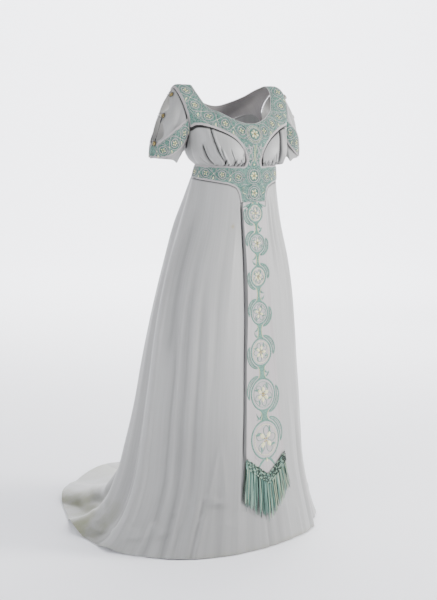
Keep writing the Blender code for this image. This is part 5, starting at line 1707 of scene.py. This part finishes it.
class DRESS_OT_panel(bpy.types.Operator):
    """Build the hanging panel and its chain of medallions"""

    bl_idname = "dress.panel"
    bl_label = "Hanging panel"

    def execute(self, context):
        part = np.linspace(-1.0, 1.0, 31)[None, :]
        down = np.linspace(0.0, 1.0, 270)[:, None]
        top = BAND_EDGE[0, 1] - PANEL_CLEAR
        points, normals = self.surface(part, top + (panel_hem(part) - top) * down)
        thick = context.scene.dress_sizes.cloth
        name, silk = "front_panel", finish("panel_silk")
        piece = grid_shell(f"{name}_cloth", points, normals, thick, {}, silk)
        settle(piece, name)
        points, normals = self.surface(part, top + (PANEL_POINT_HEIGHT - top) * down)
        self.work(track_of(points + normals * 0.0001, normals))
        return {"FINISHED"}

    def surface(self, part, height):
        """The panel hangs free of the skirt and sways a little."""
        part, height = np.broadcast_arrays(part, height)
        down = (BAND_EDGE[0, 1] - height) / (BAND_EDGE[0, 1] - PANEL_POINT_HEIGHT)
        sway = 0.0016 * np.sin(down * 9.0 + 1.2 * part) * ease(down / 0.2)
        lip = 0.0012 * ease((np.abs(part) - 0.8) / 0.2)
        return over_skirt(part, height, CLOTH + LAY + PANEL_STAND * ease(down / 0.15) + sway + lip)

    def work(self, track):
        """Medallions that grow down the panel, joined by waisted stems with leaf pairs."""
        work = Stitching()
        length = track["along"][-1]
        part = (np.arange(PANEL_MEDALLIONS) + 0.36) / PANEL_MEDALLIONS
        places = 0.003 + length * (0.70 * part + 0.28 * part**2)
        half = np.interp(places, track["along"], track["half"])
        radii = half * (0.62 + 0.13 * part)
        work.waist(-0.0005, places[0] - radii[0], 0.022, 0.014)
        for sense in SENSES:
            for place, lean, thread in ((0.000, 0.3, TEAL), (0.001, 0.8, DEEP), (0.003, 1.2, TEAL)):
                foot = np.array((place, sense * (0.014 + place)))
                work.leaf(foot, sense * lean, 0.024, 0.0064, thread, -0.15 * sense)
            foot = np.array((0.002, sense * 0.024))
            work.curl(foot, sense * 0.6, 0.026, sense, TEAL, 0.0030)
        for number, (place, radius) in enumerate(zip(places, radii)):
            self.medallion(work, number, place, radius)
            if number + 1 < PANEL_MEDALLIONS:
                ends = slice(number, number + 2)
                shape = 0.36 + 0.28 * part[number]
                self.stem(work, SENSES[number % 2], places[ends], radii[ends], half[ends], shape)
        last = np.array((places[-1] + radii[-1] * 0.9, 0.0))
        for sense in SENSES:
            work.leaf(last, sense * 0.80, radii[-1], 0.008, TEAL, 0.1 * sense)
            work.curl(last + (0.002, sense * 0.010), sense * 1.1, 0.034, sense, ROSE, 0.0022)
        work.knot(last[0] + 0.008, 0.012, 0.008, PETAL_LIFT)
        work.lay_on("front_panel_embroidery", track)

    def medallion(self, work, number, place, radius):
        """Two rings round a flower, with five outlined petals and four small leaves."""
        centre = np.array((place, 0.0))
        work.ring(centre, radius, 0.0052, RING_LIFT, TEAL, 36)
        work.ring(centre, radius * 0.80, 0.0015, LINE_LIFT, (CREAM, TEAL)[number % 2], 36)
        work.flower(centre, radius * 0.50, 4 + number % 3, 0.4 * number)
        for petal in range(5):
            swing = 0.63 + 0.4 * number + petal * 2 * math.pi / 5
            foot = centre + radius * 0.16 * polar(swing)
            work.petal(foot, swing, radius * 0.58, radius * 0.40)
        for swing in (-2.4, -0.9, 0.8, 2.3):
            start = centre + radius * 0.52 * polar(swing)
            work.leaf(start, swing + 0.9, radius * 0.40, radius * 0.13, TEAL, 0.2)

    def stem(self, work, side, places, radii, half, narrow):
        """A stem between two medallions, a leaf loop round each of them and a leaf at each end."""
        wide = radii[0] * 0.86
        first, last = places[0] + radii[0] * 0.98, places[1] - radii[1] * 0.98
        work.waist(first, last, wide, wide * narrow)
        upper, lower = np.stack((places, 0 * places), -1)
        limits = half * 0.96
        work.flank(upper, radii[0], limits[0], side * 0.34, side * 1.95)
        work.flank(lower, radii[1], limits[1], math.pi - side * 0.30, math.pi - side * 1.75)
        aside, bow = side * wide * 0.2, 0.20 * side
        start, end = np.array((first + 0.006, -aside)), np.array((last - 0.006, -aside))
        work.leaf(start, -side * 0.9, half[0] * 0.52, 0.0062, TEAL, bow)
        work.leaf(end, math.pi + side * 0.9, half[0] * 0.48, 0.0058, TEAL, bow)


class DRESS_OT_sleeves(bpy.types.Operator):
    """Build the two sleeves, slit along the top of the arm"""

    bl_idname = "dress.sleeves"
    bl_label = "Sleeves"

    def execute(self, context):
        self.arm("right", -1.0, 1.8)
        self.arm("left", 1.0, 4.6)
        return {"FINISHED"}

    def arm(self, side, sign, band_shadow):
        """The creased sleeve from one edge of the slit to the other, with rolled edges."""
        fall = np.linspace(0.0, 1.0, 76)[:, None]
        gap = spline(SLIT[:, 0], SLIT[:, 1], fall)
        part = np.linspace(0.0, 1.0, 124)[None, :]
        turn = gap + (360.0 - 2 * gap) * part
        normals = sleeve_normals(sign, turn, fall)
        small = creases(SLEEVE_CREASES, turn, fall) * bpy.context.scene.dress_sizes.crease
        roll = 0.0006 * np.exp(-((np.minimum(part, 1 - part) / 0.006) ** 2))
        tuck = 0.0022 * ease((0.02 - fall) / 0.02)
        points = sleeve(sign, turn, fall) + normals * (small + roll - tuck)[..., None]
        # Painted shade: a shadow line beside the bands' lower edges, a light shade over the whole sleeve,
        # and more near the armhole over the top and front of the arm
        wide = np.interp(turn, (14.0, 45.0, 75.0, 96.0, 106.0), (0.025, 0.055, 0.105, 0.14, 0.0))
        band_turn = np.interp(fall, SLEEVE_BAND[:-1, 3], SLEEVE_BAND[:-1, 2]) + 1.0
        beside_band = np.minimum(np.abs(turn - band_turn), np.abs(360.0 - turn - band_turn))
        line = 0.97 * np.exp(-((beside_band / band_shadow) ** 2))
        values = {"hollow": np.maximum(line, 0.14 + 0.83 * ease((wide - fall) / 0.020))}
        silk_piece(f"sleeve_{side}", points, normals, values)


class DRESS_OT_sleeve_bands(bpy.types.Operator):
    """Build the embroidered bands that cross the sleeves to the slit"""

    bl_idname = "dress.sleeve_bands"
    bl_label = "Sleeve bands"

    def execute(self, context):
        stations = np.linspace(0.0, 1.0, len(SLEEVE_BAND))
        rows = spline(stations, SLEEVE_BAND, np.linspace(0.0, 1.0, 110))
        part = np.linspace(0.0, 1.0, 24)[None, :]
        turn = rows[:, :1] + (rows[:, 2:3] - rows[:, :1]) * part
        fall = rows[:, 1:2] + (rows[:, 3:] - rows[:, 1:2]) * part
        for side, sign in SIDES:
            self.band(side, "front", sign, turn, fall)
            self.band(side, "back", sign, 360.0 - turn, fall)
        return {"FINISHED"}

    def band(self, side, place, sign, turn, fall):
        """The sleeve between two lines, raised over its cloth, with a chain of three medallions."""
        sizes = bpy.context.scene.dress_sizes
        normals = sleeve_normals(sign, turn, fall)
        plain = sleeve(sign, turn, fall)
        edge = rim_distance(plain, np.vstack((plain[:, 0], plain[:, -1])))
        lift = CLOTH + BAND_LAY + 0.0006 * (1 - np.exp(-edge / 0.002))
        points = plain + normals * lift[..., None]
        name, thick, under = f"sleeve_band_{side}_{place}", sizes.cloth, [f"sleeve_{side}_cloth"]
        trim_piece(name, points, normals, thick, edge)
        track = track_of(points, normals)
        work = Stitching()
        length = track["along"][-1]
        half = np.interp(length / 2, track["along"], track["half"])
        centres = np.array((0.20, 0.47, 0.73)) * length
        chain(work, length, half * 0.9, sizes.medallion * 0.92, 0.05, centres)
        edge_line(work, track, length * 0.93, sizes.margin + MM)
        work.lay_on(f"{name}_embroidery", track)


def tubes(name, paths, radii, sides, shades, finish_name):
    """Tubes round many paths (tubes, points, 3), closed at both ends by shrinking rings."""
    count, points = paths.shape[:2]
    ahead = unit(np.gradient(paths, axis=1))
    upright = np.abs(ahead[..., 2:]) > 0.9
    reference = np.where(upright, np.array((0.0, 1.0, 0.0)), np.array((0.0, 0.0, 1.0)))
    first = unit(np.cross(ahead, reference))
    second = np.cross(ahead, first)
    turn = 2 * math.pi * np.arange(sides) / sides
    ring = first[:, :, None] * np.cos(turn)[:, None] + second[:, :, None] * np.sin(turn)[:, None]
    flat = (paths[:, :, None] + ring * radii[:, :, None, None]).reshape(-1, 3)
    index = np.arange(count * points * sides).reshape(count, points, sides)
    quads = [side_quads(index[:, :-1], index[:, 1:])]
    for start in range(1, sides - 2, 2):
        quads.append(index[:, 0][:, (start + 2, start + 1, start, 0)])
        quads.append(index[:, -1][:, (0, start, start + 1, start + 2)])
    quads = facing_out(flat, np.concatenate(quads))
    along = lengths_along(step_lengths(paths, 1))
    uv = np.stack(np.broadcast_arrays(along[..., None], turn * 0.0002), -1).reshape(-1, 2)
    shade = np.broadcast_to(shades[:, None, None], (count, points, sides)).ravel()
    return quad_mesh(name, flat, quads, uv, {"shade": shade}, [finish(finish_name)])


def cord(name, path, radii, node=None):
    """One black cord along a path."""
    radii = np.broadcast_to(radii, (1, len(path)))
    fasten(tubes(name, path[None], radii, 8, np.zeros(1), "twisted_cord"), node)


class DRESS_OT_fringe(bpy.types.Operator):
    """Build the fringe: a knotted heading over long silk strands"""

    bl_idname = "dress.fringe"
    bl_label = "Fringe"

    def execute(self, context):
        dice = np.random.default_rng(11)
        self.strands(dice, context.scene.dress_sizes.strands)
        self.heading(dice)
        return {"FINISHED"}

    def strands(self, dice, strands):
        """Nearly straight lines that drift into locks and spread as they fall."""
        across_part = np.linspace(-0.985, 0.985, strands) + dice.normal(0.0, 0.006, strands)
        level = np.linspace(0.0, 1.0, 11)[None, :]
        lock = ((across_part + 1.05) * 0.5 * FRINGE_LOCKS).astype(int)
        lock_centre = (lock + 0.5) / FRINGE_LOCKS * 2 - 1.05
        clump = 0.5 * (lock_centre - across_part)[:, None] * level
        spread = across_part[:, None] * (1 + STRAND_SPREAD * level) + clump
        spread = spread + dice.normal(0.0, 0.020, (strands, 1)) * level**1.5
        start = panel_hem(np.clip(across_part, -1, 1))[:, None] - 0.004
        drop = spline(STRAND_ENDS[:, 0], STRAND_ENDS[:, 1], across_part)
        drop = drop + dice.normal(0.0, 0.008, strands)
        height = start + (drop[:, None] - start) * level
        face = dice.uniform(0.0, 1.0, strands) < FACE_STRANDS
        front_depth = dice.uniform(0.0030, 0.0062, strands)
        depth = np.where(face, front_depth, dice.uniform(-0.0020, 0.0020, strands))[:, None]
        sway = 0.0012 * np.sin(level * 7.0 + across_part[:, None] * 40.0)
        stand = FRINGE_BASE - 0.001 + depth * ease(level / 0.30) + sway
        paths, _ = over_skirt(spread, height, stand)
        thick = (dice.uniform(0.0008, 0.0012, strands) + 0.0002 * face)[:, None]
        radii = thick * (1 - 0.35 * level) * np.where((level > 0.0) & (level < 1.0), 1.0, 0.55)
        tones = np.cumsum(dice.integers(1, 4, strands)) % len(STRAND_TONES)
        shades = STRAND_TONES[tones] + dice.uniform(-0.10, 0.10, strands)
        # The strands behind get dark tones: partly their own colour, partly painted shade in the gaps
        shades = np.where(face, shades, dice.uniform(0.0, 0.26, strands))
        piece = tubes("fringe_strands", paths, radii, 5, np.clip(shades, 0.0, 1.0), "fringe_thread")
        fasten(piece, "fringe")

    def heading(self, dice):
        """A net of crossing cords and knots over the panel's pointed edge."""
        foot = np.linspace(-0.97, 0.97, 44)[:, None]
        level = np.linspace(0.0, 1.0, 7)[None, :]
        groups = []
        for sense in SENSES:
            spread = np.clip(foot + sense * 0.075 * level, -1.02, 1.02)
            height = panel_hem(np.clip(spread, -1, 1)) + 0.002 - 0.030 * level
            stand = FRINGE_BASE + 0.0030 + 0.0006 * sense + 0.0022 * level + 0 * spread
            groups.append(over_skirt(spread, height, stand)[0])
        paths = np.concatenate(groups)
        radii = np.where((level > 0) & (level < 1), 0.0010, 0.0006)
        radii = np.broadcast_to(radii, paths.shape[:2])
        shades = np.where(dice.uniform(0.0, 1.0, len(paths)) < 0.4, 0.75, 0.12)
        fasten(tubes("fringe_heading", paths, radii, 5, shades, "fringe_thread"))
        part = np.linspace(-1.0, 1.0, 6)
        groups = []
        for row, drop in enumerate((0.001, -0.008, -0.017, -0.026)):
            spread = np.linspace(-0.97, 0.97, 38) + (0.5 * row) * 0.05
            spread = spread[np.abs(spread) < 1.0]
            stand = FRINGE_BASE + 0.0046 + 0.0006 * row + 0 * spread
            middle, _ = over_skirt(spread, panel_hem(spread) + drop, stand)
            groups.append(middle[:, None] + np.outer(part, (0.0, 0.0, 0.0022)))
        knots = np.concatenate(groups)
        swell = np.broadcast_to(0.0021 * np.sqrt(np.maximum(1 - part**2, 0.05)), knots.shape[:2])
        shades = np.where(dice.uniform(0.0, 1.0, len(knots)) < 0.35, 0.9, 0.04)
        fasten(tubes("fringe_knots", knots, swell, 7, shades, "fringe_thread"))


def frame_on_sleeve(side, turn, fall):
    """A point of the sleeve, its outward direction, and the directions round and down the arm."""
    point = sleeve(side, turn, fall)
    out = sleeve_normals(side, np.array(turn), np.array(fall))
    down = unit(sleeve(side, turn, fall + 0.01) - sleeve(side, turn, fall - 0.01))
    return point, out, unit(np.cross(out, down)), down


def button_turn(fall):
    """Buttons sit on the front edge of the slit."""
    return float(np.interp(fall, SLIT[:, 0], SLIT[:, 1])) + BUTTON_EDGE


class DRESS_OT_buttons(bpy.types.Operator):
    """Build the gilt buttons: a turned dome inside a raised rim"""

    bl_idname = "dress.buttons"
    bl_label = "Buttons"

    def execute(self, context):
        stations = np.arange(len(BUTTON_PROFILE)) * 1.0
        profile = spline(stations, BUTTON_PROFILE, np.linspace(0, stations[-1], 30))
        circle = 2 * math.pi * np.arange(BUTTON_SIDES) / BUTTON_SIDES
        at_rim = np.exp(-(((profile[:, 1:] - 0.9) / 0.12) ** 2))
        beads = 1 + 0.035 * np.sin(circle * 14.0)[None, :] * at_rim
        wide = (BUTTON_RADIUS * profile[:, 1:] * beads)[..., None]
        deep = (BUTTON_DEEP * profile[:, :1])[..., None]
        index = np.arange(wide.size).reshape(wide.shape[:2])
        quads = [side_quads(index[:-1], index[1:])]
        for ring in (index[0], index[-1][::-1]):
            fan = [(ring[0], *ring[k + 2 : k - 1 : -1]) for k in range(1, BUTTON_SIDES - 2, 2)]
            quads.append(np.array(fan))
        quads = np.concatenate(quads)
        for side, sign in SIDES:
            for number, (fall, lift) in enumerate(zip(BUTTON_FALLS, BUTTON_LIFTS), 1):
                point, out, round_arm, down = frame_on_sleeve(sign, button_turn(fall), fall)
                flat = np.cos(circle)[:, None] * round_arm + np.sin(circle)[:, None] * down
                points = (point + out * lift + out * deep + wide * flat).reshape(-1, 3)
                name = f"button_{side}_{number}"
                faces = facing_out(points, quads)
                gilt = [finish("worn_gilt")]
                piece = quad_mesh(f"{name}_gilt", points, faces, points[:, :2], {}, gilt)
                fasten(piece, name)
        return {"FINISHED"}


class DRESS_OT_loops(bpy.types.Operator):
    """Build the black cord loops round the buttons, with the lace between the lower two"""

    bl_idname = "dress.loops"
    bl_label = "Loops"

    def execute(self, context):
        for side, sign in SIDES:
            for number, (fall, lift) in enumerate(zip(BUTTON_FALLS, LOOP_LIFTS), 1):
                name = f"loop_{side}_{number}"
                cord(f"{name}_cord", self.path(sign, fall, lift), LOOP_RADIUS, name)
            self.lace(side, sign)
        return {"FINISHED"}

    def path(self, sign, fall, lift):
        """From the slit's back edge, half round the button and back again."""
        turn = button_turn(fall)
        point, out, _, _ = frame_on_sleeve(sign, turn, fall)
        across_slit = sleeve(sign, LOOP_EDGE - turn, fall) - point
        toward = unit(across_slit)
        sideways = unit(np.cross(out, toward))
        wide = BUTTON_RADIUS + LOOP_RADIUS + LOOP_CLEAR
        centre = point + out * (lift + LOOP_RADIUS)
        swing = np.radians(np.linspace(-90.0, 90.0, 9))[:, None]
        round_button = centre - (toward * np.cos(swing) + sideways * np.sin(swing)) * wide
        spread = sideways * LOOP_SPREAD
        far = centre + across_slit
        route = np.vstack((far + spread, round_button, far - spread))
        return spline(np.arange(len(route)) * 1.0, route, np.linspace(0, len(route) - 1, 60))

    def lace(self, side, sign):
        """A thin cord with two drops hangs from the middle button to the lowest one."""
        ends = []
        for fall in BUTTON_FALLS[1:]:
            point, out, _, _ = frame_on_sleeve(sign, button_turn(fall), fall)
            ends.append(point + out * LACE_LIFT)
        level = np.linspace(0.0, 1.0, 30)
        path = ends[0] + np.outer(level, ends[1] - ends[0])
        path[:, 2] -= LACE_SAG * np.sin(math.pi * level)
        upper, lower = np.exp(-(((level - 0.16) / 0.07) ** 2)), np.exp(-(((level - 0.84) / 0.06) ** 2))
        cord(f"lace_{side}", path, LACE_RADIUS + LACE_DROP * (upper + 0.8 * lower))


class DRESS_OT_stage(bpy.types.Operator):
    """Set the pale floor with its curved backdrop, the soft lights and the camera"""

    bl_idname = "dress.stage"
    bl_label = "Stage"

    def execute(self, context):
        scene = context.scene
        self.backdrop(scene.dress_colours)
        for name, place, target, size, power, colour in LIGHTS:
            lamp = bpy.data.lights.new("light_" + name, "AREA")
            lamp.shape = "DISK"
            lamp.size = size
            lamp.energy = power
            lamp.color = colour
            holder = bpy.data.objects.new("light_" + name, lamp)
            holder.location = place
            aim = Vector(target) - Vector(place)
            holder.rotation_euler = aim.to_track_quat("-Z", "Y").to_euler()
            scene.collection.objects.link(holder)
        world = bpy.data.worlds.new("studio")
        world.use_nodes = True
        background = world.node_tree.nodes["Background"]
        background.inputs["Color"].default_value = SKY_COLOUR
        background.inputs["Strength"].default_value = SKY_STRENGTH
        scene.world = world
        camera = bpy.data.cameras.new("camera")
        camera.lens = 85.0
        camera.sensor_width = 36.0
        camera.clip_end = 50.0
        holder = bpy.data.objects.new("camera", camera)
        holder.location = CAMERA_PLACE
        holder.rotation_euler = [math.radians(turn) for turn in CAMERA_TURN]
        scene.collection.objects.link(holder)
        scene.camera = holder
        return {"FINISHED"}

    def backdrop(self, colours):
        """A round floor whose rim sweeps up: radius and height follow a quarter circle."""
        turn = np.linspace(0.0, 2 * math.pi, 97)[None, :]
        part = np.linspace(0.0, 1.0, 60)[:, None]
        sweep = np.clip((part - 0.4) / 0.3, 0, 1) * math.pi / 2
        rim = FLOOR_REACH + RIM_SWEEP * np.sin(sweep)
        reach = np.maximum(np.where(part < 0.4, part / 0.4 * FLOOR_REACH, rim), 0.01)
        wall = np.clip((part - 0.7) / 0.3, 0, 1) * WALL_HEIGHT
        level = FLOOR_LEVEL + RIM_SWEEP * (1 - np.cos(sweep)) + wall
        grid = np.stack((reach * np.cos(turn), reach * np.sin(turn), level + 0 * turn), -1)
        points = grid.reshape(-1, 3)
        made, tree, shader = principled("studio_paper", 0.8, specular=0.2)
        grain = noise(tree, object_place(tree), Scale=1.4, Detail=3.0)
        base = mix_colour(tree, grain, scaled(colours.floor, 0.985), scaled(colours.floor, 1.015))
        link(tree, base, shader.inputs["Base Color"])
        faces = grid_faces(*grid.shape[:2])
        quad_mesh("studio_floor", points, faces, points[:, :2], {}, [made])


class DRESS_PT_panel(bpy.types.Panel):
    bl_label = "Evening dress"
    bl_idname = "DRESS_PT_panel"
    bl_space_type = "VIEW_3D"
    bl_region_type = "UI"
    bl_category = "Dress"

    def draw(self, context):
        layout = self.layout
        for group in (context.scene.dress_sizes, context.scene.dress_colours):
            for title in group.__annotations__:
                layout.prop(group, title)
        for operator in OPERATORS:
            layout.operator(operator.bl_idname)


OPERATORS = (
    DRESS_OT_stage,
    DRESS_OT_skirt,
    DRESS_OT_bodice,
    DRESS_OT_yoke,
    DRESS_OT_waistband,
    DRESS_OT_panel,
    DRESS_OT_sleeves,
    DRESS_OT_sleeve_bands,
    DRESS_OT_fringe,
    DRESS_OT_buttons,
    DRESS_OT_loops,
)
CLASSES = (DressSizes, DressColours, *OPERATORS, DRESS_PT_panel)


def register():
    for kind in CLASSES:
        bpy.utils.register_class(kind)
    bpy.types.Scene.dress_sizes = bpy.props.PointerProperty(type=DressSizes)
    bpy.types.Scene.dress_colours = bpy.props.PointerProperty(type=DressColours)


def unregister():
    del bpy.types.Scene.dress_colours
    del bpy.types.Scene.dress_sizes
    for kind in reversed(CLASSES):
        bpy.utils.unregister_class(kind)


def main():
    register()
    for operator in OPERATORS:
        group, name = operator.bl_idname.split(".")
        getattr(getattr(bpy.ops, group), name)()


if __name__ == "__main__":
    main()
